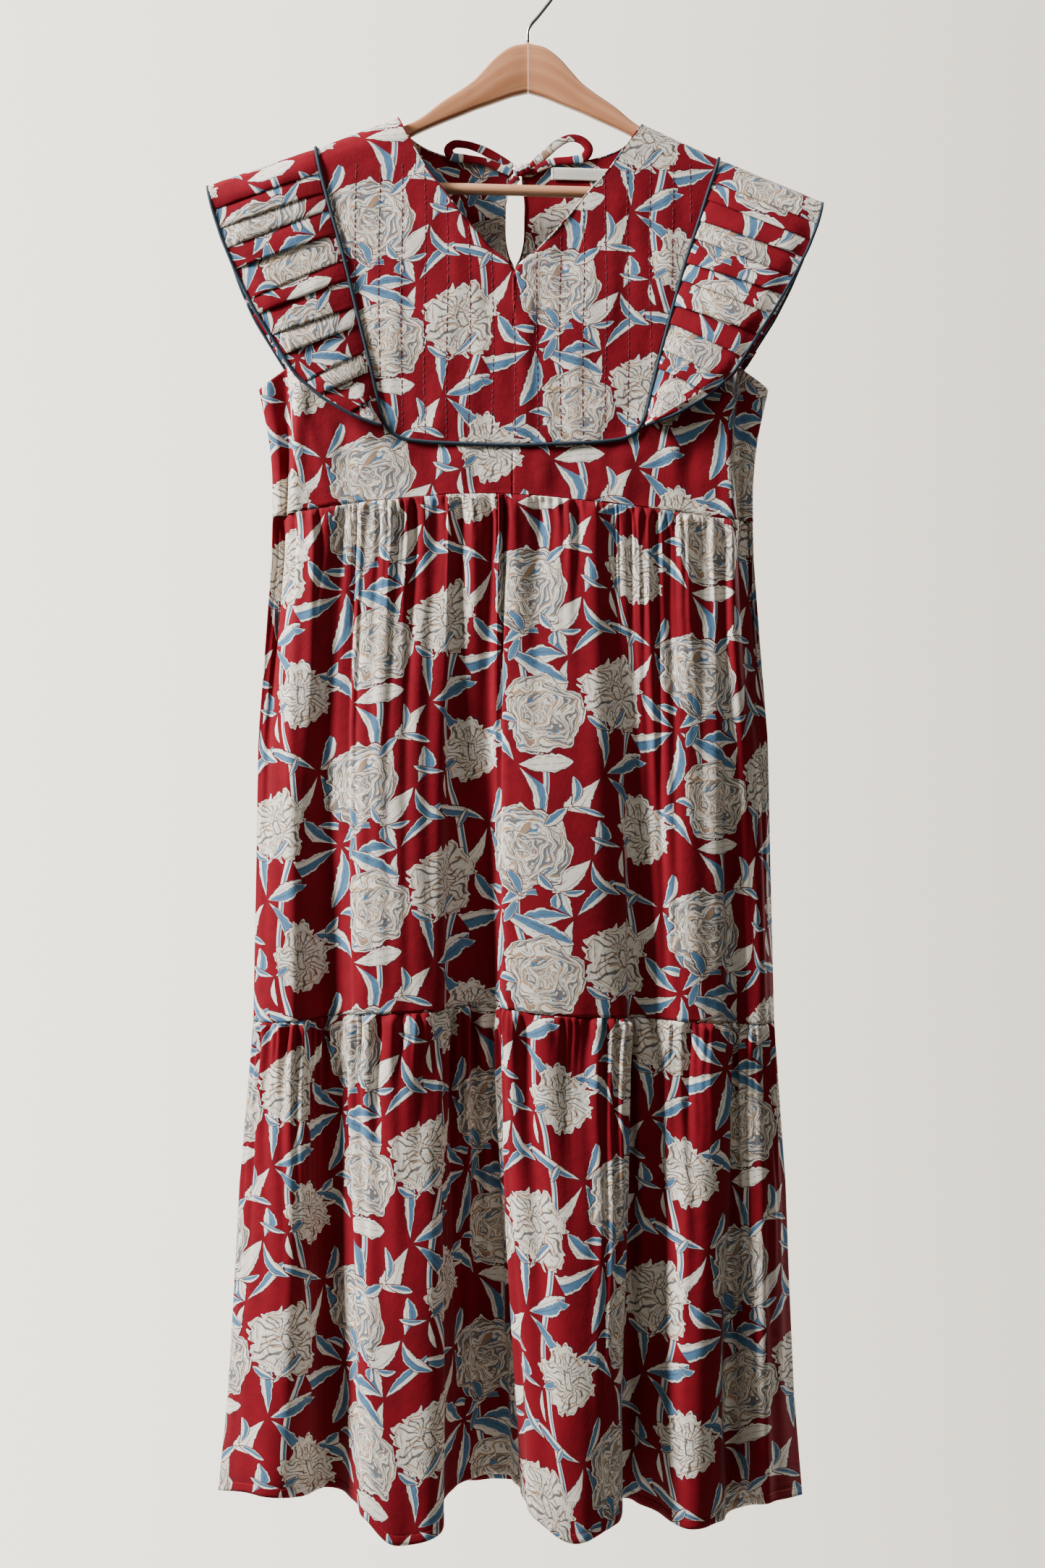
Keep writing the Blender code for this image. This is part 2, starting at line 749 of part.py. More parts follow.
for old in list(bpy.data.objects):
    bpy.data.objects.remove(old)

print_front = new_material("crimson_print_front", (0.38, 0.012, 0.025), 0.85)
print_back = new_material("crimson_print_back", (0.34, 0.011, 0.022), 0.85)
skirt_print = new_material("crimson_print_skirt", (0.36, 0.012, 0.024), 0.85)
flange_print = new_material("crimson_print_flange", (0.4, 0.014, 0.026), 0.85)
navy = new_material("navy_piping", (0.014, 0.045, 0.075), 0.75)
white_label = new_material("white_label", (0.8, 0.78, 0.75), 0.7)
beech = new_material("beech_wood", (0.6, 0.33, 0.22), 0.45)
nickel = new_material("nickel_wire", (0.55, 0.55, 0.55), 0.3, 1)

make_hanger(beech, nickel)
make_yoke("yoke_front", FRONT_YOKE, -1, print_front)
make_yoke("yoke_back", BACK_YOKE, 1, print_back)
make_bodice("bodice_front", FRONT_YOKE, -1, print_front)
make_bodice("bodice_back", BACK_YOKE, 1, print_back)
for tier, level, steps in ((0, "upper", UPPER_STEPS), (1, "lower", LOWER_STEPS)):
    make_skirt(f"skirt_{level}_front", FRONT_FOLDS, FRONT_GATHERS, tier, steps, -1, skirt_print)
    make_skirt(f"skirt_{level}_back", BACK_FOLDS, BACK_GATHERS, tier, steps, 1, skirt_print)
for which, side in (("left", -1), ("right", 1)):
    _, edge_path = make_flange(f"flange_{which}", side, flange_print)
    tube(f"piping_flange_{which}", edge_path, PIPING_RADIUS * MM, PIPING_RADIUS * MM, PIPING_SIDES, navy)
for which, table, face in (("front", FRONT_YOKE, -1), ("back", BACK_YOKE, 1)):
    path = yoke_piping_path(table, face)
    tube(f"piping_yoke_{which}", path, PIPING_RADIUS * MM, PIPING_RADIUS * MM, PIPING_SIDES, navy)
make_tie(print_back)
make_label(white_label)
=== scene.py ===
import math

import bmesh
import bpy
import numpy as np
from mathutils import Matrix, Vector
from mathutils.bvhtree import BVHTree


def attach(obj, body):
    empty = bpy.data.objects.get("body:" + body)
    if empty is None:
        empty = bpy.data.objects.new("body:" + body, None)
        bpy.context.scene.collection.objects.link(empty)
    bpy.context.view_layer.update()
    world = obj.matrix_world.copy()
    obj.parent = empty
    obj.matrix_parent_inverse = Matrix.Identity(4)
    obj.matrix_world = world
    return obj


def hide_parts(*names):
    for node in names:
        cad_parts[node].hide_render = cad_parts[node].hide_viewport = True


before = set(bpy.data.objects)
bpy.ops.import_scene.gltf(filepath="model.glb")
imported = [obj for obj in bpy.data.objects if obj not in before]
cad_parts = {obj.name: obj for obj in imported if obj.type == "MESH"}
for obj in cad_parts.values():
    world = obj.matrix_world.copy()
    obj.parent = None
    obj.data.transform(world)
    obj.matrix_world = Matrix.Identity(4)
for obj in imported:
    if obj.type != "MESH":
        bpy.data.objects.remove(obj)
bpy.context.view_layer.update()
print("frame loaded")

# Tables are in millimetres; meshes are in metres. The front faces -Y, the hook's inner top is the origin.
mm = 0.001
pieces = {}

# height, the dress's middle across
middleLine = [
    (-1350, -15), (-930, -12), (-490, -13.5), (-380, -12.5), (-215, -11.3), (-177, -9.3), (-147, -6.7),
]
droop = 0.027

# seam half, seam height, inner half, inner height, way down from the shoulder line
frontYoke = [
    (176.4, -177.6, 107.3, -147.3, 0),
    (176.4, -177.6, 107.3, -147.3, 0),
    (175.8, -180.1, 105.9, -149.8, 2.5),
    (174.0, -187.0, 101.8, -157.0, 9),
    (168.5, -206, 91.6, -173, 26),
    (159.5, -237, 80.3, -191, 50),
    (150.0, -268, 63.3, -211.5, 70),
    (141.5, -300, 43.3, -236.7, 90),
    (133.5, -331, 23.6, -259, 110),
    (125.8, -361, 0, -282, 130),
    (119.5, -388, 0, -330, 150),
    (112.8, -412.6, 0, -385, 170),
    (107.0, -421.8, 0, -434, 190),
]
backYoke = [
    (176.4, -177.6, 107.3, -147.3, 0),
    (176.4, -177.6, 107.3, -147.3, 0),
    (175.8, -180.1, 104.6, -150.8, 2.5),
    (174.0, -187.0, 98.5, -158.5, 9),
    (168.5, -206, 84, -168.5, 26),
    (164.0, -221, 66, -175, 40),
    (159.5, -237, 44, -178.8, 50),
    (154.8, -252, 24, -180, 60),
    (150.0, -268, 9.8, -180.5, 70),
    (141.5, -300, 8.8, -222, 90),
    (133.5, -331, 6.5, -258, 110),
    (125.8, -361, 0, -274, 130),
    (119.5, -388, 0, -330, 150),
    (112.8, -412.6, 0, -385, 170),
    (107.0, -421.8, 0, -434, 190),
]
yokeBottom = [(107.0, -421.8), (98.3, -427), (81, -430.3), (56, -432), (28, -433.2), (0, -434)]
frontDepth = [(-500, -33), (-430, -28.5), (-330, -28), (-200, -24), (-147, -23)]
backDepth = [(-500, 13), (-330, 11), (-147, 8)]
armSweep = 14 / 220
foldOver = 4.2
# Added to the way down where the turn over the shoulder is worked out, so that it begins a little earlier
turnStart = 1.5
# Half the gap between two cloths at a seam
seamGap = 0.2

# armhole and side outlines: half, height and height, half
armhole = [(224, -382), (216, -376), (200.5, -363.5), (187, -345), (174, -322), (161.5, -294)]
sideLine = [
    (-1348, 256.5), (-1263, 249), (-1166, 244), (-1073, 240), (-995, 234), (-930, 229), (-790, 226),
    (-680, 224), (-590, 217), (-521, 212), (-478, 211), (-436, 213), (-407, 218.5), (-382, 224),
]
sideTurn = [(211, -4, -4), (204, -9, -9), (199.5, -5, -4), (193, -25, -29)]
# place across, height
waistLine = [(-208, -493), (-148, -484), (-58, -475.5), (2, -477), (93, -487), (161, -497), (180, -498)]
tierLine = [
    (-240, -936), (-209, -935), (-155, -928), (-83, -925), (-40, -920), (22, -928), (112, -932),
    (187, -937), (212, -937),
]
# waist across, waist depth, tier across, tier depth, hem across, hem depth, hem height
frontFolds = [
    (-223.5, -9, -240.5, -12, -270.5, -14, -1346),
    (-213, -5, -230, -27, -249, -50, -1338),
    (-205, -28, -207, -39, -213, -68, -1338),
    (-192, -32, -195, -35, -192, -54, -1340),
    (-172, -32, -177, -21, -176, -23, -1341),
    (-155, -32, -158, -30, -152, -42, -1343),
    (-140, -33, -146, -45, -139, -86, -1350),
    (-112, -34, -118, -50, -113, -98, -1369),
    (-78, -33, -78, -47, -75, -91, -1361),
    (-62, -33, -69, -29, -69, -36, -1342),
    (-46, -33, -46, -20, -42, -20, -1332),
    (-28, -33, -28, -26, -15, -28, -1331),
    (-14, -33, -17, -45, 1, -84, -1343),
    (26, -34, 30, -52, 36, -108, -1365),
    (66, -33, 80, -46, 74, -90, -1353),
    (82, -33, 89, -27, 81, -34, -1349),
    (98, -33, 110, -32, 104, -46, -1352),
    (124, -33, 135, -44, 134, -84, -1359),
    (150, -33, 165, -40, 165, -74, -1357),
    (166, -32, 176, -23, 173, -30, -1361),
    (180, -28, 193, -31, 191, -46, -1350),
    (190, -5, 205, -30, 207, -58, -1345),
    (196.5, -9, 215.5, -12, 239.5, -14, -1350),
]
backFolds = [
    (-223.5, 8, -240.5, 9, -270.5, 12, -1346),
    (-206, 13, -214, 17, -236, 27, -1349),
    (-160, 14, -170, 13, -190, 16, -1345),
    (-115, 14, -118, 20, -132, 34, -1350),
    (-62, 14, -66, 14, -72, 18, -1346),
    (-14, 14, -12, 21, -12, 37, -1351),
    (36, 14, 42, 14, 52, 19, -1347),
    (84, 14, 92, 20, 108, 35, -1352),
    (130, 14, 146, 13, 160, 17, -1348),
    (176, 13, 188, 17, 204, 28, -1353),
    (196.5, 8, 215.5, 9, 239.5, 12, -1350),
]


def read(table, at):
    return np.interp(at, [row[0] for row in table], [row[1] for row in table])


def mix(a, b, share):
    return a + (b - a) * share


def ease(share):
    share = np.clip(share, 0, 1)
    return share * share * (3 - 2 * share)


def drooped(x, z):
    return z - droop * x * ease((z + 330) / 110)


def lineDepth(half):
    return -armSweep * half


def flatDepth(half, z, face):
    if face < 0:
        return read(frontDepth, z) + 3 * (half / 180) ** 2
    return read(backDepth, z)


def dressPoint(half, y, z, side=1):
    x = side * half + read(middleLine, z)
    return np.array([x, y, drooped(x, z)]) * mm


# A finer grid, smooth along its first direction, with its rows about as far apart as spacing (mm)
def smoothDown(grid, spacing):
    steps = np.linalg.norm(np.diff(grid, axis=0), axis=2)
    gaps = np.maximum(steps.mean(axis=1), 1e-7)
    slopes = np.diff(grid, axis=0) / gaps[:, None, None]
    tangents = np.empty_like(grid)
    tangents[0] = slopes[0]
    tangents[-1] = slopes[-1]
    for at in range(1, len(grid) - 1):
        before = gaps[at - 1]
        after = gaps[at]
        tangents[at] = (slopes[at - 1] * after + slopes[at] * before) / (before + after)
    rows = []
    for at, gap in enumerate(gaps):
        count = max(1, round(gap / mm / spacing))
        for step in range(count):
            t = step / count
            rows.append(
                grid[at] * (2 * t**3 - 3 * t**2 + 1)
                + tangents[at] * gap * (t**3 - 2 * t**2 + t)
                + grid[at + 1] * (3 * t**2 - 2 * t**3)
                + tangents[at + 1] * gap * (t**3 - t**2)
            )
    rows.append(grid[-1])
    return np.array(rows)


def smoothGrid(grid, down, across):
    finer = smoothDown(np.asarray(grid, float), down)
    return smoothDown(finer.transpose(1, 0, 2), across).transpose(1, 0, 2)


# Unit normals of a grid's points, on the side that a rough direction points to
def gridNormals(grid, outward):
    down = np.gradient(grid, axis=0)
    across = np.gradient(grid, axis=1)
    normals = np.cross(across, down)
    lengths = np.linalg.norm(normals, axis=2, keepdims=True)
    normals /= np.maximum(lengths, 1e-12)
    if (normals.reshape(-1, 3).mean(axis=0) * outward).sum() < 0:
        normals = -normals
    return normals


# An uneven wave: rows of length, size and start
def wobble(at, waves):
    return sum(size * np.sin(math.tau * (at / length + start)) for length, size, start in waves)


# Creases drawn one by one: from x, z to x, z, half width, height. A negative height is a dent.
def creased(x, z, rows):
    total = np.zeros_like(x)
    for x0, z0, x1, z1, width, height in rows:
        run = np.array([x1 - x0, z1 - z0])
        length = math.hypot(*run)
        along = ((x - x0) * run[0] + (z - z0) * run[1]) / length**2
        off = ((x - x0) * run[1] - (z - z0) * run[0]) / length
        off = off + width * 0.5 * np.sin(along * 3.1 + x0 * 0.1)
        fade = ease(along / 0.3) * ease((1 - along) / 0.45)
        total += height * np.exp(-((off / width) ** 2)) * fade
    return total


# A piece of the points and faces, with its places on the flat cloth where it has them
def addPiece(name, points, faces, material, flats=None):
    mesh = bpy.data.meshes.new(name)
    mesh.from_pydata(points, [], faces)
    if flats is not None:
        layer = mesh.uv_layers.new(name="cloth")
        corners = np.empty(len(mesh.loops), int)
        mesh.loops.foreach_get("vertex_index", corners)
        layer.data.foreach_set("uv", flats[corners].ravel())
    mesh.shade_smooth()
    mesh.materials.append(material)
    made = bpy.data.objects.new(name, mesh)
    bpy.context.scene.collection.objects.link(made)
    pieces[name] = made
    return made


# Turns the faces of a closed mesh outwards
def faceOutwards(mesh):
    builder = bmesh.new()
    builder.from_mesh(mesh)
    bmesh.ops.recalc_face_normals(builder, faces=builder.faces)
    builder.to_mesh(mesh)
    builder.free()


# The quads between closed rings of points, and the two end faces
def ringFaces(count, sides):
    numbers = np.arange(count * sides).reshape(count, sides)
    after = np.roll(numbers, -1, axis=1)
    quads = np.stack([numbers[:-1], after[:-1], after[1:], numbers[1:]], axis=2).reshape(-1, 4)
    return quads.tolist(), numbers[0].tolist(), numbers[-1].tolist()


# How far along a path each of its points lies
def pathLengths(path):
    steps = np.linalg.norm(np.diff(path, axis=0), axis=1)
    return np.concatenate([[0], np.cumsum(steps)])


# One cloth piece of grids with their places on the flat cloth, joined where they meet. Judged is the
# share of the rows that tells which way a grid faces.
def gridMesh(name, grids, material, wall, outward, judged=1.0):
    points = []
    flats = []
    faces = []
    for grid, flat in grids:
        rows, columns = grid.shape[:2]
        base = sum(len(p) for p in points)
        numbers = np.arange(rows * columns).reshape(rows, columns) + base
        quads = np.stack(
            [numbers[:-1, :-1], numbers[:-1, 1:], numbers[1:, 1:], numbers[1:, :-1]], axis=2
        ).reshape(-1, 4)
        part = grid[: round(rows * judged)]
        facing = np.cross(
            part[:-1, 1:] - part[:-1, :-1], part[1:, :-1] - part[:-1, :-1]
        ).reshape(-1, 3).sum(axis=0)
        if (facing * outward).sum() < 0:
            quads = quads[:, ::-1]
        points.append(grid.reshape(-1, 3))
        flats.append(flat.reshape(-1, 2))
        faces.append(quads)
    points = np.concatenate(points)
    flats = np.concatenate(flats)
    faces = np.concatenate(faces)
    made = addPiece(name, points.tolist(), faces.tolist(), material, flats)
    if len(grids) > 1:
        builder = bmesh.new()
        builder.from_mesh(made.data)
        bmesh.ops.remove_doubles(builder, verts=builder.verts, dist=0.01 * mm)
        builder.to_mesh(made.data)
        builder.free()
    shell = made.modifiers.new("wall", "SOLIDIFY")
    shell.thickness = wall * mm
    shell.offset = -1
    return made


# The directions square to a line of points, in the plane of the cloth
def seamNormals(points):
    found = []
    for at in range(len(points)):
        before = points[max(at - 1, 0)]
        after = points[min(at + 1, len(points) - 1)]
        run = (after[0] - before[0], after[1] - before[1])
        length = math.hypot(*run)
        found.append((-run[1] / length, run[0] / length))
    return found


def yokeSeam(table):
    sides = [(row[0], row[1], row[4]) for row in table[1:-1]]
    return sides + [(half, z, table[-1][4]) for half, z in yokeBottom]


# The yoke's seam moved square to itself, outwards where way is positive
def movedSeam(table, way):
    seam = yokeSeam(table)
    moved = []
    for (half, z, down), normal in zip(seam, seamNormals(seam)):
        moved.append((max(half + way * normal[0], 0), z + way * normal[1], down))
    moved[0] = (seam[0][0] + way, seam[0][1], 0)
    moved[-1] = (0, seam[-1][1] - way, seam[-1][2])
    return moved


def shoulderDepth(half, z, down, face):
    share = 1 - math.exp(-down / foldOver)
    return mix(lineDepth(half), flatDepth(half, z, face), share)


def yokeGrid(table, face, side):
    seam = movedSeam(table, -seamGap)
    shares = [1 - half / yokeBottom[0][0] for half, z in yokeBottom]
    last = len(table) - 1
    rows = []
    for number, (outerHalf, outerZ, innerHalf, innerZ, down) in enumerate(table):
        row = []
        edgeHalf, edgeZ, edgeDown = seam[max(number - 1, 0)]
        for at, share in enumerate(shares):
            if number == last:
                half, z, lowest = seam[last - 1 + at]
            else:
                half = mix(edgeHalf, innerHalf, share)
                z = mix(edgeZ, innerZ, share)
            if number == 0:
                y = lineDepth(half) + face * seamGap
            elif number == 1:
                y = lineDepth(half) + face * 3
            else:
                y = shoulderDepth(half, z, down + turnStart, face)
            row.append(dressPoint(half, y, z, side))
        rows.append(row)
    return np.array(rows)


# Where each point lies on the flat cloth: across and down, with the turn over the shoulder added
def flatPlaces(grid, face):
    x = grid[..., 0]
    y = grid[..., 1]
    z = grid[..., 2]
    rest = face * np.maximum(face * (np.median(y) - y), 0)
    return np.stack([x, z + np.abs(rest)], axis=2)


# Low swells in cloth that hangs flat: wave across, wave down, size, start
swells = {
    "front": [
        (61, 173, 0.42, 0.1), (37, 97, 0.25, 0.63), (23, 240, 0.2, 0.31), (149, 71, 0.34, 0.8),
        (17, 44, 0.08, 0.2),
    ],
    "back": [
        (73, 151, 0.45, 0.42), (41, 109, 0.24, 0.13), (27, 210, 0.22, 0.71), (131, 63, 0.3, 0.26),
        (19, 50, 0.08, 0.5),
    ],
}


def swelling(x, z, rows):
    total = np.zeros_like(x)
    for across, down, size, start in rows:
        total += size * np.sin(math.tau * (x / across + start + 0.35 * np.sin(z / down * 2.1)))
        total += 0.6 * size * np.sin(math.tau * (z / down - start + 0.3 * np.sin(x / across * 1.7)))
    return total


# x, z to x, z, half width, height
yokeCreases = {
    "front": [
        (-150, -196, -138, -300, 7, 0.8), (-118, -170, -96, -260, 9, -0.8),
        (-84, -200, -70, -330, 8, 0.7), (-60, -262, -30, -330, 6, -0.6),
        (-128, -330, -92, -418, 9, 0.8), (-40, -330, -52, -426, 10, 0.7), (8, -300, 2, -400, 7, -0.7),
        (40, -262, 60, -340, 8, 0.8), (70, -215, 96, -330, 9, -0.8), (96, -180, 120, -268, 8, 0.8),
        (128, -190, 138, -300, 7, -0.6), (96, -330, 74, -424, 9, 0.8), (30, -372, 40, -430, 8, -0.6),
        (-14, -280, -8, -345, 4, 0.6), (-70, -400, -110, -416, 7, -0.5),
    ],
    "back": [
        (-150, -196, -136, -310, 8, 0.8), (-110, -180, -90, -280, 9, -0.8),
        (-70, -190, -60, -330, 8, 0.7), (-24, -196, -32, -300, 6, -0.6),
        (-120, -330, -90, -418, 9, 0.7), (-30, -320, -46, -426, 10, 0.8), (14, -210, 26, -330, 7, -0.7),
        (50, -190, 64, -320, 8, 0.8), (90, -190, 100, -320, 9, -0.8), (126, -200, 132, -300, 7, 0.6),
        (90, -330, 70, -424, 9, 0.8), (20, -372, 30, -430, 8, -0.6),
    ],
}
yokeSurface = {}
seamRows = 6
allowance = 4.5
quiltPitch = 19.6


def makeYoke(which, table, face, material):
    grids = []
    for side in (-1, 1):
        grid = smoothGrid(yokeGrid(table, face, side), 2.2, 2.2)
        x = grid[..., 0] / mm
        z = grid[..., 2] / mm
        normals = gridNormals(grid, (0, face, 0))
        settle = ease((-z - 190) / 50)
        height = (swelling(x, z, swells[which]) + creased(x, z, yokeCreases[which])) * settle
        # the cloth lies still within a few rows of its seams
        edge = np.ones(grid.shape[1])
        edge[:seamRows] = np.linspace(0, 1, seamRows)
        bottom = np.ones(grid.shape[0])
        bottom[-seamRows:] = np.linspace(1, 0, seamRows)
        height = height * edge[None, :] * bottom[:, None]
        # the quilted rows draw the cloth in a little
        middle = np.interp(z, [-434, -147], [-13, -8])
        puckers = np.abs(np.sin(math.pi * (x - middle) / quiltPitch))
        height += 0.34 * (puckers - 0.6) * settle * edge[None, :]
        moved = grid + normals * height[..., None] * mm
        # the two halves meet in the middle line, below the neck
        atMiddle = np.abs(x[:, -1] - read(middleLine, z[:, -1])) < 0.6
        moved[:, -1, 0] = np.where(atMiddle, grid[:, -1, 0], moved[:, -1, 0])
        grids.append((moved, flatPlaces(grid, face)))
    made = gridMesh(f"yoke{which.title()}Cloth", grids, material, wall=0.55, outward=(0, face, 0))
    yokeSurface[which] = BVHTree.FromPolygons(
        [v.co.copy() for v in made.data.vertices], [list(p.vertices) for p in made.data.polygons]
    )


def bodiceTop(table):
    seam = movedSeam(table, seamGap)
    return armhole + [(half, z) for half, z, down in seam if z <= -267]


def bodiceGrid(table, face, side):
    top = bodiceTop(table)
    turns = len(sideTurn)
    columns = []
    for at, (topHalf, topZ) in enumerate(top):
        if at < turns:
            lowHalf, topY, lowY = sideTurn[at]
            if face > 0:
                lowHalf = mix(sideTurn[0][0], sideTurn[-1][0], at / (turns - 1))
                topY = lowY = mix(4, flatDepth(topHalf, topZ, face), ease(at / (turns - 1)))
        else:
            lowHalf = topHalf * sideTurn[-1][0] / armhole[turns - 1][0]
        column = []
        for share in (0, 0.14, 0.34, 0.58, 0.8, 1):
            lowX = side * lowHalf + read(middleLine, -490)
            lowZ = read(waistLine, lowX) + seamGap
            z = mix(topZ, lowZ, share)
            half = mix(topHalf, lowHalf, share)
            if at < turns:
                straight = mix(armhole[0][0], sideTurn[0][0], share)
                half += (read(sideLine, z) - straight) * (1 - at / turns)
                y = mix(topY, lowY, share)
            else:
                y = flatDepth(half, z, face)
            column.append(dressPoint(half, y, z, side))
        columns.append(column)
    first = [np.array([p[0], face * seamGap * mm, p[2]]) for p in columns[0]]
    columns.insert(0, first)
    return np.array(columns).transpose(1, 0, 2)


def waistSeam(table, face):
    points = []
    for side in (-1, 1):
        lowest = bodiceGrid(table, face, side)[-1][1:]
        points += [(round(p[0] / mm, 5), p[2] / mm - seamGap) for p in lowest]
    return sorted(set(points))


bodiceCreases = {
    "front": [
        (-196, -392, -176, -486, 6, 1.2), (-180, -372, -150, -470, 8, -1.2),
        (-160, -366, -128, -452, 9, 1.3), (-150, -410, -112, -480, 8, 1.0),
        (-108, -436, -96, -478, 8, -0.8), (-70, -438, -60, -474, 9, 0.8),
        (-30, -440, -24, -474, 8, -0.7), (12, -440, 18, -476, 9, 0.7), (54, -438, 60, -478, 8, -0.8),
        (96, -430, 88, -482, 9, 0.9), (120, -404, 104, -484, 8, -1.0), (136, -366, 118, -470, 9, 1.3),
        (152, -372, 140, -488, 8, -1.2), (168, -380, 158, -492, 7, 1.2),
        (184, -392, 172, -488, 6, -0.9),
    ],
    "back": [
        (-190, -392, -160, -480, 9, 1.2), (-160, -370, -130, -470, 9, -1.2),
        (-124, -420, -110, -478, 9, 1.0), (-50, -440, -44, -474, 9, -0.8), (30, -440, 34, -476, 9, 0.8),
        (92, -430, 84, -482, 9, -0.9), (136, -368, 118, -470, 9, 1.2), (166, -380, 150, -490, 9, -1.2),
    ],
}


# How far round the body each point of a grid lies from its row's first
def arcAcross(grid):
    steps = np.linalg.norm(np.diff(grid[..., :2], axis=1), axis=2)
    return np.concatenate([np.zeros((len(grid), 1)), np.cumsum(steps, axis=1)], axis=1)


def makeBodice(which, table, face, material):
    grids = []
    for side in (-1, 1):
        grid = smoothGrid(bodiceGrid(table, face, side), 2.4, 2.4)
        x = grid[..., 0] / mm
        z = grid[..., 2] / mm
        normals = gridNormals(grid, (0, face, 0))
        height = 0.9 * swelling(x, z - 40, swells[which]) + creased(x, z, bodiceCreases[which])
        half = np.abs(x - read(middleLine, z))
        height *= 0.25 + 0.75 * ease((215 - half) / 22)
        rows, columns = grid.shape[:2]
        fromSide = np.minimum(np.arange(columns) / 5, 1)
        fromEnds = np.minimum(np.minimum(np.arange(rows), np.arange(rows)[::-1]) / 4, 1)
        height = height * fromSide[None, :] * (0.2 + 0.8 * fromEnds[:, None])
        grid = grid + normals * height[..., None] * mm
        grid[:, -1, 0] = read(middleLine, grid[:, -1, 2] / mm) * mm
        arc = arcAcross(grid)
        u = grid[:, -1:, 0] + side * (arc[:, -1:] - arc)
        flat = np.stack([u, grid[..., 2]], axis=2)
        # the seam allowance turns in at the waist
        low = grid[-1]
        inward = np.array([0, -face, 0]) * mm
        turned = np.stack([low + inward * 0.9 + np.array([0, 0, -0.02]) * mm, low + inward * allowance])
        grid = np.concatenate([grid, turned])
        flat = np.concatenate([flat, flat[-1:] - [0, 0.001], flat[-1:] - [0, 0.005]])
        grids.append((grid, flat))
    gridMesh(f"bodice{which.title()}Cloth", grids, material, wall=0.5, outward=(0, face, 0))


# A smooth curve through evenly spaced values, at places counted in values
def smoothThrough(values, at):
    values = np.asarray(values, float)
    low = np.clip(np.asarray(at, float).astype(int), 0, len(values) - 2)
    share = at - low
    before = values[np.maximum(low - 1, 0)]
    start = values[low]
    end = values[low + 1]
    after = values[np.minimum(low + 2, len(values) - 1)]
    rise = (end - before) / 2
    fall = (after - start) / 2
    square = share * share
    cube = square * share
    return (
        start * (2 * cube - 3 * square + 1)
        + rise * (cube - 2 * square + share)
        + end * (3 * square - 2 * cube)
        + fall * (cube - square)
    )


# Places counted in folds, evenly far apart along the cloth, and the cloth's length
def evenPlaces(folds, count):
    xs = [(row[2] + row[4]) / 2 for row in folds]
    ys = [(row[3] + row[5]) / 2 for row in folds]
    fine = np.linspace(0, len(xs) - 1, 4000)
    x = smoothThrough(xs, fine)
    y = smoothThrough(ys, fine)
    lengths = np.concatenate([[0], np.cumsum(np.hypot(np.diff(x), np.diff(y)))])
    return np.interp(np.linspace(0, lengths[-1], count), lengths, fine), lengths[-1]


# Gathers in three sizes, each uneven: pitch, height, how far down they fade, how far down they are full
gatherSizes = {
    "upperFront": [(6.3, 0.9, 16, 0), (14.5, 1.5, 60, 3), (31, 2.3, 300, 20)],
    "lowerFront": [(7.6, 1.7, 32, 0), (17.3, 3.4, 110, 4), (37, 3.6, 380, 20)],
    "upperBack": [(6.6, 1.0, 20, 0), (15.1, 2.2, 80, 4), (34, 3.1, 360, 20)],
    "lowerBack": [(7.8, 1.6, 34, 0), (17.9, 3.2, 110, 5), (41, 4.2, 420, 20)],
}
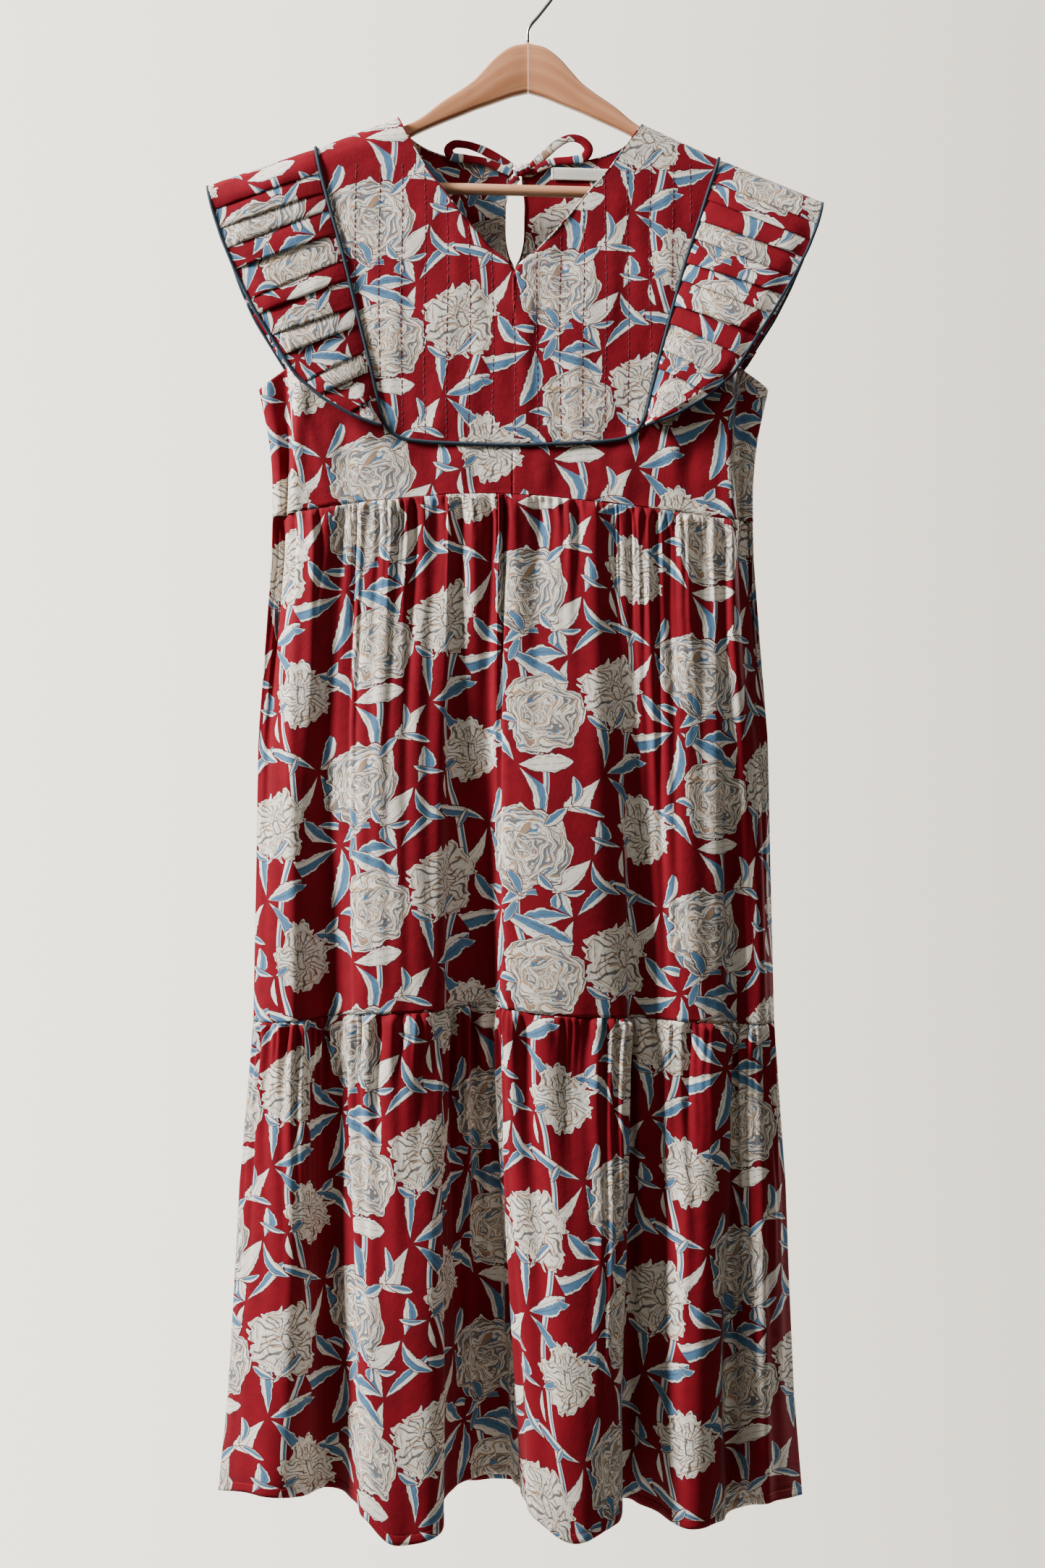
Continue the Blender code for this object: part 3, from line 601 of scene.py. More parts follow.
# Single creases: place across (0 to 1), half width, height, how far down they are full, reach, lean
skirtCreases = {
    "upperFront": [
        (0.045, 5, 2.0, 4, 190, 4), (0.09, 4, -1.8, 3, 120, -3), (0.13, 6, 2.4, 5, 260, 6),
        (0.165, 4, 1.6, 2, 90, 2), (0.2, 7, -2.4, 6, 300, -5), (0.235, 5, 2.0, 4, 150, 3),
        (0.27, 8, 2.6, 10, 420, -8), (0.305, 5, -1.9, 3, 170, 4), (0.33, 4, 1.7, 2, 100, 2),
        (0.365, 6, 2.2, 5, 240, -4), (0.4, 8, -2.6, 8, 400, 6), (0.43, 5, 2.1, 4, 160, 3),
        (0.47, 6, 2.2, 3, 280, -6), (0.5, 4, -1.6, 2, 110, 2), (0.535, 7, 2.4, 8, 380, 9),
        (0.57, 5, -2.0, 3, 200, -4), (0.6, 5, 1.9, 4, 130, 2), (0.64, 8, 2.7, 7, 430, -9),
        (0.675, 5, -2.1, 3, 210, 5), (0.71, 4, 1.7, 2, 120, -2), (0.745, 7, 2.3, 6, 340, 6),
        (0.78, 5, -2.0, 4, 190, -3), (0.82, 6, 2.2, 4, 260, 5), (0.86, 5, -1.8, 3, 150, -3),
        (0.9, 6, 2.0, 5, 230, 4), (0.945, 5, 1.7, 4, 160, -3),
    ],
    "lowerFront": [
        (0.03, 6, 2.0, 4, 160, 4), (0.075, 5, -2.2, 2, 120, -3), (0.115, 7, 2.8, 5, 300, 7),
        (0.15, 5, 2.2, 3, 140, 3), (0.185, 7, -2.8, 6, 260, -6), (0.22, 6, 2.4, 4, 180, 4),
        (0.25, 5, 2.3, 2, 110, -3), (0.285, 8, 3.0, 8, 340, 8), (0.32, 5, -2.4, 3, 190, -4),
        (0.355, 5, 2.2, 3, 120, 3), (0.39, 8, -3.0, 8, 330, 7), (0.42, 5, 2.4, 4, 170, -4),
        (0.455, 6, 2.3, 3, 210, 5), (0.49, 5, -2.2, 2, 130, -3), (0.52, 8, 3.0, 8, 350, -9),
        (0.555, 5, 2.2, 3, 150, 4), (0.59, 6, -2.6, 4, 230, 5), (0.625, 5, 2.3, 3, 140, -3),
        (0.66, 8, 2.9, 7, 320, 8), (0.69, 5, -2.3, 3, 160, -4), (0.725, 6, 2.5, 4, 220, 5),
        (0.76, 5, 2.1, 2, 110, 3), (0.795, 8, -2.9, 8, 310, -7), (0.83, 5, 2.3, 3, 150, 4),
        (0.865, 7, 2.6, 5, 270, 6), (0.9, 5, -2.2, 3, 140, -3), (0.935, 6, 2.3, 4, 200, 5),
        (0.97, 5, 1.8, 3, 130, 3),
    ],
    "upperBack": [
        (0.06, 6, 2.2, 4, 210, 5), (0.11, 5, -1.9, 3, 140, -3), (0.17, 8, 2.6, 7, 380, 8),
        (0.22, 5, 2.0, 3, 130, 3), (0.28, 7, -2.5, 6, 320, -6), (0.34, 5, 2.1, 4, 170, 4),
        (0.4, 8, 2.7, 8, 420, -8), (0.45, 5, -2.0, 3, 180, 4), (0.51, 6, 2.2, 4, 240, 5),
        (0.56, 8, -2.6, 7, 390, -7), (0.62, 5, 2.0, 3, 150, 3), (0.68, 7, 2.4, 6, 330, 7),
        (0.74, 5, -2.0, 4, 190, -4), (0.8, 6, 2.2, 5, 260, 5), (0.86, 5, 1.9, 3, 150, -3),
        (0.93, 6, 2.1, 4, 200, 4),
    ],
    "lowerBack": [
        (0.05, 6, 2.4, 4, 180, 4), (0.11, 6, -2.5, 3, 170, -4), (0.17, 8, 3.0, 7, 320, 8),
        (0.23, 5, 2.3, 3, 140, 3), (0.29, 8, -2.9, 6, 300, -7), (0.35, 6, 2.5, 4, 190, 4),
        (0.41, 8, 3.0, 8, 340, -8), (0.47, 5, -2.4, 3, 180, 4), (0.52, 6, 2.4, 4, 220, 5),
        (0.58, 8, -2.9, 7, 320, -7), (0.64, 5, 2.3, 3, 150, 3), (0.7, 8, 2.8, 6, 310, 7),
        (0.76, 6, -2.5, 4, 200, -4), (0.82, 6, 2.5, 5, 240, 5), (0.88, 5, 2.1, 3, 150, -3),
        (0.94, 6, 2.2, 4, 180, 4),
    ],
}
# Of the upper and lower tier: height of the middle of its top and its lower edge, and how deep it is
tierTops = (-486, -929)
tierBottoms = (-929, -1348)
tierDepths = (443, 419)
hemDepth = 8
skirtGrids = {}


# How far the gathers stand out of a tier, by places along its cloth and down it
def gatherHeight(along, down, part, seed):
    total = np.zeros_like(down)
    for number, (pitch, height, reach, start) in enumerate(gatherSizes[part]):
        begin = seed + 0.37 * number
        drifts = [(pitch * 5.3, pitch * 0.5, begin), (pitch * 11.7, pitch * 0.95, begin * 1.7)]
        drift = wobble(along, drifts) + wobble(down, [(reach * 2.1, pitch * 0.14, begin)])
        size = 0.8 + wobble(along, [(pitch * 3.3, 0.36, begin * 2.3), (pitch * 7.9, 0.34, begin * 0.9)])
        length = reach * (1 + wobble(along, [(pitch * 4.1, 0.3, begin * 3.1), (pitch * 2.3, 0.16, begin)]))
        wave = np.sin(math.tau * (along + drift) / pitch)
        shaped = wave + 0.22 * (1 - wave * wave)
        total += height * size * shaped * np.exp(-down / length) * ease((down + 4) / (start + 4))
    return total


# A tier's points, in rows from its upper seam down to its lower edge
def skirtGrid(folds, part, table, face, count, spacing):
    tier = 0 if part.startswith("upper") else 1
    places, long = evenPlaces(folds, count)
    topLine = (waistSeam(table, face), tierLine)[tier]
    hems = [row[6] for row in folds]
    deep = tierDepths[tier]
    # rows lie closer together beside the seam above and round the hem's stitches
    shares = [down / deep for down in (0, 0.8, 2, 4, 6.5, 9.5, 13, 17, 21.5, 26.5, 32, 38)]
    shares += list(np.linspace(44, deep - 14, round((deep - 58) / spacing)) / deep)
    shares += [1 - up / deep for up in (9.5, 8.7, 8, 7.3, 6.4, 3, 0)]
    along = np.linspace(0, long, count)
    seed = {"upperFront": 0.13, "lowerFront": 0.58, "upperBack": 0.31, "lowerBack": 0.83}[part]
    edge = np.clip(np.minimum(np.arange(count), np.arange(count)[::-1]) / 10, 0, 1)
    rows = []
    for share in shares:
        middleZ = mix(tierTops[tier], tierBottoms[tier], share)
        first = 2 * tier
        xs = np.array([mix(row[first], row[first + 2], share) for row in folds])
        ys = np.array([mix(row[first + 1], row[first + 3], ease(share)) for row in folds])
        middle = (xs[-1] + xs[0]) / 2
        xs = middle + (xs - middle) * (read(sideLine, middleZ) - 1) / ((xs[-1] - xs[0]) / 2)
        x = smoothThrough(xs, places)
        y = smoothThrough(ys, places)
        ahead = np.minimum(places + 0.05, len(xs) - 1)
        behind = np.maximum(places - 0.05, 0)
        runX = smoothThrough(xs, ahead) - smoothThrough(xs, behind)
        runY = smoothThrough(ys, ahead) - smoothThrough(ys, behind)
        length = np.hypot(runX, runY)
        topZ = read(topLine, x) - seamGap
        lowZ = smoothThrough(hems, places) if tier else read(tierLine, x) + seamGap
        z = mix(topZ, lowZ, share)
        down = topZ - z
        height = gatherHeight(along, down, part, seed)
        for place, width, rise, start, reach, lean in skirtCreases[part]:
            off = (along - place * long - lean * down / reach) / (width * (1 + 0.9 * down / reach))
            fade = ease(down / start) * ease((1 - down / reach) / 0.6)
            height = height + rise * np.exp(-off * off) * fade
        height = height * mix(0.55, 1, ease(down / 5))
        above = z - lowZ
        if tier == 0:
            height = height * mix(0.3, 1, ease(above / 50))
            waves = wobble(along, [(33, 0.8, 0.2), (19, 0.5, 0.7)])
            height = height + 0.5 * waves * ease(1 - above / 36)
        else:
            # the stitched row sinks in, and the doubled hem below it stands out
            height = height - 0.35 * np.exp(-(((above - hemDepth) / 0.8) ** 2)) + 0.3 * (above < hemDepth)
            waves = wobble(along, [(29, 0.5, 0.4), (47, 0.9, 0.1), (83, 1.1, 0.6)])
            height = height + waves * ease(1 - above / 120)
        height = height - 0.6 * ease(1 - down / 2.2)
        x = x - face * height * edge * runY / length
        y = y + face * height * edge * runX / length
        rows.append(np.stack([x, y, z], axis=1))
    return np.array(rows) * mm


def makeSkirt(part, folds, table, face, count, spacing, start, material):
    grid = skirtGrid(folds, part, table, face, count, spacing)
    wide = np.linalg.norm(np.diff(grid, axis=1), axis=2)
    row = len(grid) // 4
    arc = np.concatenate([[0], np.cumsum(np.maximum(wide[row], np.median(wide[row]) * 0.7))])
    tall = np.linalg.norm(np.diff(grid, axis=0), axis=2).mean(axis=1)
    fromTop = np.concatenate([[0], np.cumsum(tall)])
    u = start[0] + arc[None, :] - arc[-1] / 2
    flat = np.stack(np.broadcast_arrays(u, start[1] - fromTop[:, None]), axis=2)
    # the seam allowance turns in above, and at the side seams the edges meet
    inward = np.array([0, -face, 0]) * mm
    turned = np.stack([grid[0] + inward * allowance - [0, 0, 0.1 * mm], grid[0] + inward])
    grid = np.concatenate([turned, grid])
    flat = np.concatenate([flat[:1] + [0, 0.005], flat[:1] + [0, 0.001], flat])
    for end, out in ((0, -1), (-1, 1)):
        seam = grid[:, end]
        strips = []
        for depth in (4, 2, 0.2):
            strip = seam.copy()
            strip[:, 0] += out * mm
            strip[:, 1] = face * depth * mm
            strips.append(strip)
        edge = flat[:, end]
        more = [edge + [out * away * mm, 0] for away in (6, 9, 12)]
        if out < 0:
            grid = np.concatenate([np.stack(strips[::-1], axis=1), grid], axis=1)
            flat = np.concatenate([np.stack(more[::-1], axis=1), flat], axis=1)
        else:
            grid = np.concatenate([grid, np.stack(strips, axis=1)], axis=1)
            flat = np.concatenate([flat, np.stack(more, axis=1)], axis=1)
    skirtGrids[part] = grid
    gridMesh(f"skirt{part[0].upper()}{part[1:]}Cloth", [(grid, flat)], material, wall=0.5, outward=(0, face, 0))


# seam height, edge half, edge height
flangeEdge = [
    (-414, 114.5, -417.5), (-395, 139, -409), (-370, 168, -392), (-345, 190.5, -371.5), (-315, 209, -342),
    (-285, 226, -315), (-255, 241, -287), (-225, 254, -259), (-200, 262.5, -235), (-177.6, 268.2, -213),
]
shoulderZ = -177.6
flangeWide = 88
flangeEdgeHalf = [(row[0], row[1]) for row in flangeEdge]
flangeEdgeZ = [(row[0], row[2]) for row in flangeEdge]
# One row a pleat from the lower end up: seam height of its folded edge, its rise, how far it covers the
# one below, and how much its outer end drops
pleats = {
    "left": [
        (-408, 2.6, 8, 0), (-392, 3.6, 11, 1), (-370, 4.3, 12, -1), (-353, 4.0, 10, 3),
        (-330, 4.6, 13, 0), (-314, 4.0, 10, -2), (-291, 4.7, 13, 1), (-275, 3.9, 10, 4),
        (-253, 4.4, 13, -1), (-233, 3.9, 11, 2), (-218, 3.7, 9, 0), (-201, 2.7, 8, 1),
    ],
    "right": [
        (-407, 3.4, 8, 1), (-390, 4.8, 11, -1), (-367, 5.4, 13, 2), (-351, 5.6, 10, 3),
        (-328, 5.2, 13, 5), (-312, 5.8, 10, -1), (-289, 5.2, 13, 3), (-273, 6.0, 10, -1),
        (-250, 5.1, 13, 5), (-234, 5.4, 10, 0), (-215, 4.4, 10, 2), (-200, 3.2, 8, 0),
    ],
}


# Stations up one wing: seam height, rise, drop of the outer end
def wingStations(which, face):
    rows = pleats[which]
    if face > 0:
        rows = [(row[0] + 2.5 * math.sin(n * 1.9), *row[1:]) for n, row in enumerate(rows)]
    found = [(-414, 0.2, 0), (-412, 0.9, 0)]
    for number, (z, rise, cover, drop) in enumerate(rows):
        above = rows[number + 1] if number + 1 < len(rows) else (-186, 0, 0, 0)
        top = above[0] + above[2]
        found.append((z + 0.5, rise * 0.72, drop))
        found.append((z - 0.25, rise * 0.86, drop))
        found.append((z + 0.1, rise, drop))
        for share in (0.08, 0.2, 0.38, 0.58, 0.78, 0.92):
            fall = 1 - ease(share) * 0.94
            belly = 0.9 * math.sin(math.pi * share) * (1, 0.6, 1.3)[number % 3]
            found.append((mix(z, top, share), rise * fall + belly, mix(drop, above[3], share)))
        if above[1]:
            found.append((top, rise * 0.06, above[3]))
            found.append((mix(top, above[0], 0.5), above[1] * 0.32, above[3]))
    return found


def wingPoint(table, z, rise, drop, share, face, side):
    seam = sorted({(row[1], row[0]) for row in table})
    tuck = ease(share / 0.07)
    seamHalf = read(seam, z) + mix(0.7, 2.3, tuck)
    edgeHalf = read(flangeEdgeHalf, z)
    edgeZ = read(flangeEdgeZ, z)
    if face > 0:
        edgeHalf += 5 * ease((-200 - z) / 100) * ease((z + 414) / 60)
    half = mix(seamHalf, edgeHalf, share)
    height = mix(z, edgeZ - drop, share)
    down = shoulderZ - z
    grow = mix(0.3, 1, np.minimum(share * 3, 1)) * mix(1, 0.3, ease((share - 0.8) / 0.2))
    lift = mix(0.7, 1.7, tuck) + 7 * share + rise * grow
    lift += 0.5 * math.sin(share * 7 + z * 0.13) * share
    flat = flatDepth(min(seamHalf, 180), height, face) + face * lift
    y = mix(lineDepth(half), flat, 1 - math.exp(-down / foldOver))
    return dressPoint(half, y, height + 0.3 * math.exp(-down / foldOver), side)


def makeFlange(which, side, material):
    shares = [0, 0.02, 0.05, 0.1] + list(np.linspace(0.15, 0.96, 22)) + [0.985, 1]
    stations = [(frontYoke, z, rise, drop, -1) for z, rise, drop in wingStations(which, -1)]
    overShoulder = (8.4, 6.5, 4.5, 3, 1.5, 0.6, 0)
    stations += [(frontYoke, shoulderZ - down, 0, 0, -1) for down in overShoulder]
    stations += [(backYoke, shoulderZ - down, 0, 0, 1) for down in overShoulder[-2::-1]]
    stations += [(backYoke, z, rise, drop, 1) for z, rise, drop in reversed(wingStations(which, 1))]
    rows = []
    for table, z, rise, drop, face in stations:
        rows.append([wingPoint(table, z, rise, drop, share, face, side) for share in shares])
    grid = smoothDown(np.array(rows), 1.6)
    long = pathLengths(grid[:, 12])
    wide = np.array(shares) * flangeWide * mm
    offset = (0.031, 0.117)[side > 0]
    v = long[:, None] * 0.97 + 0.04
    flat = np.stack(np.broadcast_arrays(offset + side * wide[None, :], v), axis=2)
    name = f"flange{which.title()}Cloth"
    gridMesh(name, [(grid, flat)], material, wall=0.4, outward=(0, -1, 0), judged=0.4)


# The outer edge of a flange, for its piping
def wingEdge(side):
    stations = [(frontYoke, z, -1) for z in np.arange(-414, -187, 3.0)]
    stations += [(frontYoke, shoulderZ - down, -1) for down in (8.4, 4.5, 1.5, 0)]
    stations += [(backYoke, shoulderZ - down, 1) for down in (0, 1.5, 4.5, 8.4)]
    stations += [(backYoke, z, 1) for z in np.arange(-188, -415, -3.0)]
    path = []
    for table, z, face in stations:
        rise = 3.2 * ease((-190 - z) / 12) * ease((z + 416) / 12)
        path.append(wingPoint(table, z, rise, 0, 1.006, face, side))
    return np.array(path)


# Evens out a path and thins it to points about as far apart as spacing (mm)
def evenPath(path, spacing, blur=0):
    path = np.asarray(path, float)
    for again in range(blur):
        path[1:-1] = (path[:-2] + 2 * path[1:-1] + path[2:]) / 4
    lengths = pathLengths(path)
    count = max(2, round(lengths[-1] / mm / spacing) + 1)
    wanted = np.linspace(0, lengths[-1], count)
    return np.stack([np.interp(wanted, lengths, path[:, axis]) for axis in range(3)], axis=1)


def pathFrames(path):
    along = np.gradient(path, axis=0)
    along /= np.linalg.norm(along, axis=1, keepdims=True)
    side = np.cross(along[0], (0, 1, 0))
    if np.linalg.norm(side) < 0.1:
        side = np.cross(along[0], (1, 0, 0))
    sides = []
    for run in along:
        side = side - run * side.dot(run)
        side = side / np.linalg.norm(side)
        sides.append(side)
    sides = np.array(sides)
    return sides, np.cross(along, sides)


# A closed body along a path. Across and through are its half sizes in metres, a number or one a point.
def tubeMesh(name, path, across, through, sides, material, capRounds=True, start=(0, 0)):
    path = np.asarray(path, float)
    across = np.broadcast_to(across, len(path)).copy()
    through = np.broadcast_to(through, len(path)).copy()
    first, second = pathFrames(path)
    if capRounds:
        for end in (0, -1):
            across[end] *= 0.35
            through[end] *= 0.35
    angles = math.tau * (np.arange(sides) + 0.5) / sides
    rings = (
        path[:, None]
        + first[:, None] * (np.cos(angles)[None, :, None] * across[:, None, None])
        + second[:, None] * (np.sin(angles)[None, :, None] * through[:, None, None])
    )
    count = len(path)
    quads, firstEnd, lastEnd = ringFaces(count, sides)
    width = float(np.median(across)) * 3
    flats = np.stack(
        [np.repeat(pathLengths(path), sides), np.tile(np.arange(sides) / sides * width, count)], axis=1
    )
    flats = flats + np.array(start)
    faces = quads + [firstEnd[::-1], lastEnd]
    made = addPiece(name, rings.reshape(-1, 3).tolist(), faces, material, flats)
    faceOutwards(made.data)


def yokePipingPath(table, face, lift):
    seam = yokeSeam(table)
    path = []
    for side in (-1, 1):
        half = []
        for number, (out, z, down) in enumerate(seam):
            if number == 0:
                half.append(dressPoint(out, lineDepth(out) + face * seamGap, z + lift, side))
                half.append(dressPoint(out, lineDepth(out) + face * 3.4, z + lift, side))
                continue
            y = shoulderDepth(out, z, down + turnStart, face)
            half.append(dressPoint(out, y + face * lift, z + lift * math.exp(-down / foldOver), side))
        path += half if side < 0 else half[::-1][1:]
    path = smoothDown(np.array(path)[:, None], 1.5)[:, 0]
    return evenPath(path, 2.2, 2)


# Stitches along a path on a cloth: each a short flat thread. Ups are the cloth's own directions outwards.
def stitchMesh(name, lines, material, pitch, length, width, height, sink=0.1):
    points = []
    faces = []
    for path, ups in lines:
        path = np.asarray(path, float)
        ups = np.asarray(ups, float)
        steps = pathLengths(path)
        at = pitch * mm * 0.6
        number = 0
        while at + length * mm < steps[-1]:
            shift = 0.16 * pitch * mm * math.sin(number * 2.3 + len(points) * 0.01)
            grow = 1 + 0.13 * math.sin(number * 1.7)
            ends = [at + shift, at + shift + length * mm * grow]
            where = [mix(ends[0], ends[1], t) for t in (0, 0.2, 0.8, 1)]
            spots = np.stack([np.interp(where, steps, path[:, axis]) for axis in range(3)], axis=1)
            up = np.array([np.interp(where[1], steps, ups[:, axis]) for axis in range(3)])
            up /= np.linalg.norm(up)
            run = spots[-1] - spots[0]
            run /= np.linalg.norm(run)
            side = np.cross(run, up)
            base = len(points)
            for spot, swell in zip(spots, (0.35, 1, 1, 0.35)):
                low = -sink if swell == 1 else -sink * 2
                for a, b in ((-0.5, low), (-0.36, height * swell), (0.36, height * swell), (0.5, low)):
                    points.append(spot + side * a * width * swell * mm + up * b * mm)
            for ring in range(3):
                for corner in range(4):
                    a = base + ring * 4 + corner
                    b = base + ring * 4 + (corner + 1) % 4
                    faces.append((a, b, b + 4, a + 4))
            faces.append(tuple(base + k for k in (3, 2, 1, 0)))
            faces.append(tuple(base + 12 + k for k in (0, 1, 2, 3)))
            at += pitch * mm
            number += 1
    addPiece(name, [list(p) for p in points], faces, material)


# The places across of a yoke's stitched rows, about 20 mm apart. Each row is cut to the cloth.
quiltRows = {
    "front": [-150, -129.5, -110, -90, -70.5, -51, -31, -12, 8, 28, 48, 67.5, 87, 106.5, 126, 141],
    "back": [-149, -129, -109.5, -90, -70, -50.5, -30.5, 12, 31, 50.5, 70, 89.5, 109, 128.5, 143],
}


def quiltLines(which, table, face):
    surface = yokeSurface[which]
    seam = sorted({(round(z, 3), half) for half, z, down in movedSeam(table, -3.4)})
    lines = []
    for number, x in enumerate(quiltRows[which]):
        path = []
        ups = []
        for z in np.arange(-184, -440, -2.0):
            across = x + 0.8 * math.sin(z * 0.031 + number)
            start = Vector((across * mm, face * 0.2, z * mm))
            hit, normal, index, distance = surface.ray_cast(start, Vector((0, -face, 0)))
            half = abs(across - read(middleLine, z))
            inside = hit is not None and half < read(seam, z) and z > -430 and face * hit.y > 0.007
            byKeyhole = half < 12 and z > -266 and face > 0
            if inside and not byKeyhole:
                path.append(hit)
                ups.append(normal if normal.y * face > 0 else -normal)
                continue
            if len(path) > 4:
                lines.append((path, ups))
            path = []
            ups = []
        if len(path) > 4:
            lines.append((path, ups))
    return lines


# The open edges of a yoke: down one side of the neck, and up the other where they meet
def neckEdge(table, face, way):
    edge = []
    for outHalf, outZ, innerHalf, innerZ, down in table[1:]:
        edge.append((innerHalf, innerZ, down))
        if innerHalf <= 0:
            break
    outwards = seamNormals(edge)[:-1] + [(0, -1.6)]
    points = []
    for side in (-1, 1):
        moved = []
        for (half, z, down), outward in zip(edge, outwards):
            movedHalf = half + way * outward[0]
            movedZ = z + way * outward[1]
            y = shoulderDepth(movedHalf, movedZ, down + turnStart, face)
            moved.append(dressPoint(max(movedHalf, 0), y, movedZ, side))
        points += moved if side < 0 else moved[::-1][1:]
    return smoothDown(np.array(points)[:, None], 1.5)[:, 0]


# distance from the mitre, top, bottom
armProfile = [
    (0.15, -77, -120), (14, -80, -124), (28, -90, -129.5), (38, -101, -133.5), (47, -111, -137),
    (58, -119.5, -142), (75, -131, -149.5), (95, -147, -159), (103, -151.6, -163), (114, -156.6, -169),
    (140, -168.4, -182), (167, -180.9, -195), (183.6, -187, -201),
]
armEnd = [
    (184, -187.2, -214), (191, -190.3, -214), (198, -193.6, -214), (203, -196.3, -213),
    (206.5, -199.2, -211), (208, -202, -208),
]
hookRadius = 25
hookStem = [(19.7, -38.9), (13.5, -46.8), (7, -54.8), (2.6, -59.8), (0.5, -64), (0, -69), (0, -76.3)]


def makeHanger(armMaterial, barMaterial, wire):
    halfThick = 5.7
    sides = 24
    profile = np.array(armProfile, float)[:, None] * mm
    smooth = smoothDown(profile, 4)[:, 0] / mm
    rows = [tuple(r) for r in smooth] + armEnd
    angles = math.tau * (np.arange(sides) + 0.5) / sides
    aways, tops, bottoms = (np.repeat(column, sides) * mm for column in np.array(rows).T)
    for which, side in (("Left", -1), ("Right", 1)):
        points = []
        for away, top, bottom in rows:
            radius = 2.4 if away < 1 else min(3.4, (top - bottom) / 2.2)
            for angle in angles:
                a = math.cos(angle)
                b = math.sin(angle)
                y = (halfThick - radius) * np.sign(a) + radius * a
                z = (top + bottom) / 2 + ((top - bottom) / 2 - radius) * np.sign(b) + radius * b
                x = side * away
                points.append((x * mm, (lineDepth(away) + y) * mm, drooped(x, z) * mm))
        quads, firstEnd, lastEnd = ringFaces(len(rows), sides)
        heights = np.array(points)[:, 2]
        flats = np.stack([aways, heights - (tops + bottoms) / 2], axis=1)
        made = addPiece(f"arm{which}Wood", points, quads + [firstEnd, lastEnd], armMaterial, flats)
        faceOutwards(made.data)
        made.data.set_sharp_from_angle(angle=0.7)
    barHalf = 183.3
    barPath = []
    for x in np.linspace(-barHalf, barHalf, 60):
        barPath.append((x * mm, lineDepth(barHalf) * mm, drooped(x, -208.6) * mm))
    tubeMesh("barWood", barPath, 5 * mm, 5 * mm, sides, barMaterial, False)
    # the hook's round part, then its stem down into the wood
    route = []
    for angle in np.radians(np.linspace(205, -38, 61)):
        route.append((hookRadius * math.cos(angle), -23.5 + hookRadius * math.sin(angle)))
    stem = np.array([(*place, 0) for place in hookStem])[:, None] * mm
    route = route[:-1] + [(x, z) for x, z, flat in smoothDown(stem, 1.2)[:, 0] / mm]
    wirePath = evenPath([(x * mm, 0, z * mm) for x, z in route], 1.5, 3)
    tubeMesh("hookWire", wirePath, 1.5 * mm, 1.5 * mm, 16, wire)


loopLeft = [
    (-13.0, -183.6), (-25.9, -176.5), (-41.9, -168), (-57, -163.6), (-66, -163.8), (-70.5, -168.5),
    (-68, -173.8), (-57, -176), (-38, -178.9), (-24, -184.2), (-13.0, -189.4),
]
loopRight = [
    (2.0, -183.6), (14, -173.4), (26, -163.2), (38, -158), (48, -160.5), (53.6, -168), (50, -175),
    (39, -177.4), (22, -179.2), (11, -183.6), (2.0, -188.8),
]
tieTail = [(-8.8, -191.7), (-13.4, -198), (-16.5, -203)]
tieLengths = {}


def makeTie(material):
    starts = {"tieLoopLeft": (0.02, 0.05), "tieLoopRight": (0.11, 0.1), "tieTail": (0.05, 0.16)}
    for name, points in (("tieLoopLeft", loopLeft), ("tieLoopRight", loopRight), ("tieTail", tieTail)):
        path = np.array([(x * mm, 5.8 * mm, z * mm) for x, z in points])
        path = evenPath(smoothDown(path[:, None], 1.2)[:, 0], 1.2, 1)
        count = len(path)
        swell = 1 + 0.2 * np.sin(np.linspace(0.3, 8.2, count)) ** 2
        if name == "tieTail":
            pinch = 1 - 0.25 * np.exp(-np.arange(count) / 3.0)
        else:
            steps = np.arange(count)
            pinch = 1 - 0.3 * np.exp(-steps / 4.0) - 0.3 * np.exp(-steps[::-1] / 4.0)
        tieLengths[name] = float(np.linalg.norm(np.diff(path, axis=0), axis=1).sum())
        tubeMesh(name, path, 3.5 * mm * swell * pinch, 0.8 * mm * swell, 12, material, True, starts[name])
    rings = []
    for share in np.linspace(0.04, 0.96, 18):
        swell = math.sqrt(share * (1 - share)) * 2
        groove = 1 - 0.14 * math.exp(-(((share - 0.68) / 0.06) ** 2))
        groove -= 0.12 * math.exp(-(((share - 0.3) / 0.05) ** 2))
        rings.append((-5.4 + 7.4 * (2 * share - 1), 4.3, -188.2 + 3.4 * share, swell**0.7 * groove))
    rings = np.array(rings)
    path = rings[:, :3] * mm
    sizes = rings[:, 3]
    tubeMesh("tieKnot", path, 5.9 * mm * sizes, 2.7 * mm * sizes, 20, material, False, (0.032, 0.047))


# How far the label stands out from the back yoke, inside the neck
labelOut = 2.2


def makeLabel(material, thread):
    rows = []
    for at, z in enumerate(np.linspace(-183.2, -194.2, 8)):
        row = []
        for share in np.linspace(0, 1, 36):
            x = mix(20.5, 73, share)
            half = x - read(middleLine, z)
            y = shoulderDepth(half, z, 60, 1) - labelOut
            y += -0.35 * math.sin(share * 5 + 0.5) - 0.15 * math.sin(at * 0.8)
            row.append(dressPoint(half, y, z))
        rows.append(row)
    grid = np.array(rows)
    flat = np.stack([grid[..., 0], grid[..., 2]], axis=2)
    gridMesh("labelCloth", [(grid, flat)], material, wall=0.4, outward=(0, -1, 0))
    lines = [(grid[:, column], np.tile([0, -1, 0], (len(grid), 1))) for column in (1, -2)]
    stitchMesh("labelStitches", lines, thread, pitch=1.7, length=1.1, width=0.35, height=0.25)


def plug(tree, socket, value):
    if isinstance(value, bpy.types.NodeSocket):
        tree.links.new(value, socket)
    else:
        socket.default_value = value


def calc(tree, operation, *values):
    node = tree.nodes.new("ShaderNodeMath")
    node.operation = operation
    for socket, value in zip(node.inputs, values):
        plug(tree, socket, value)
    return node.outputs[0]


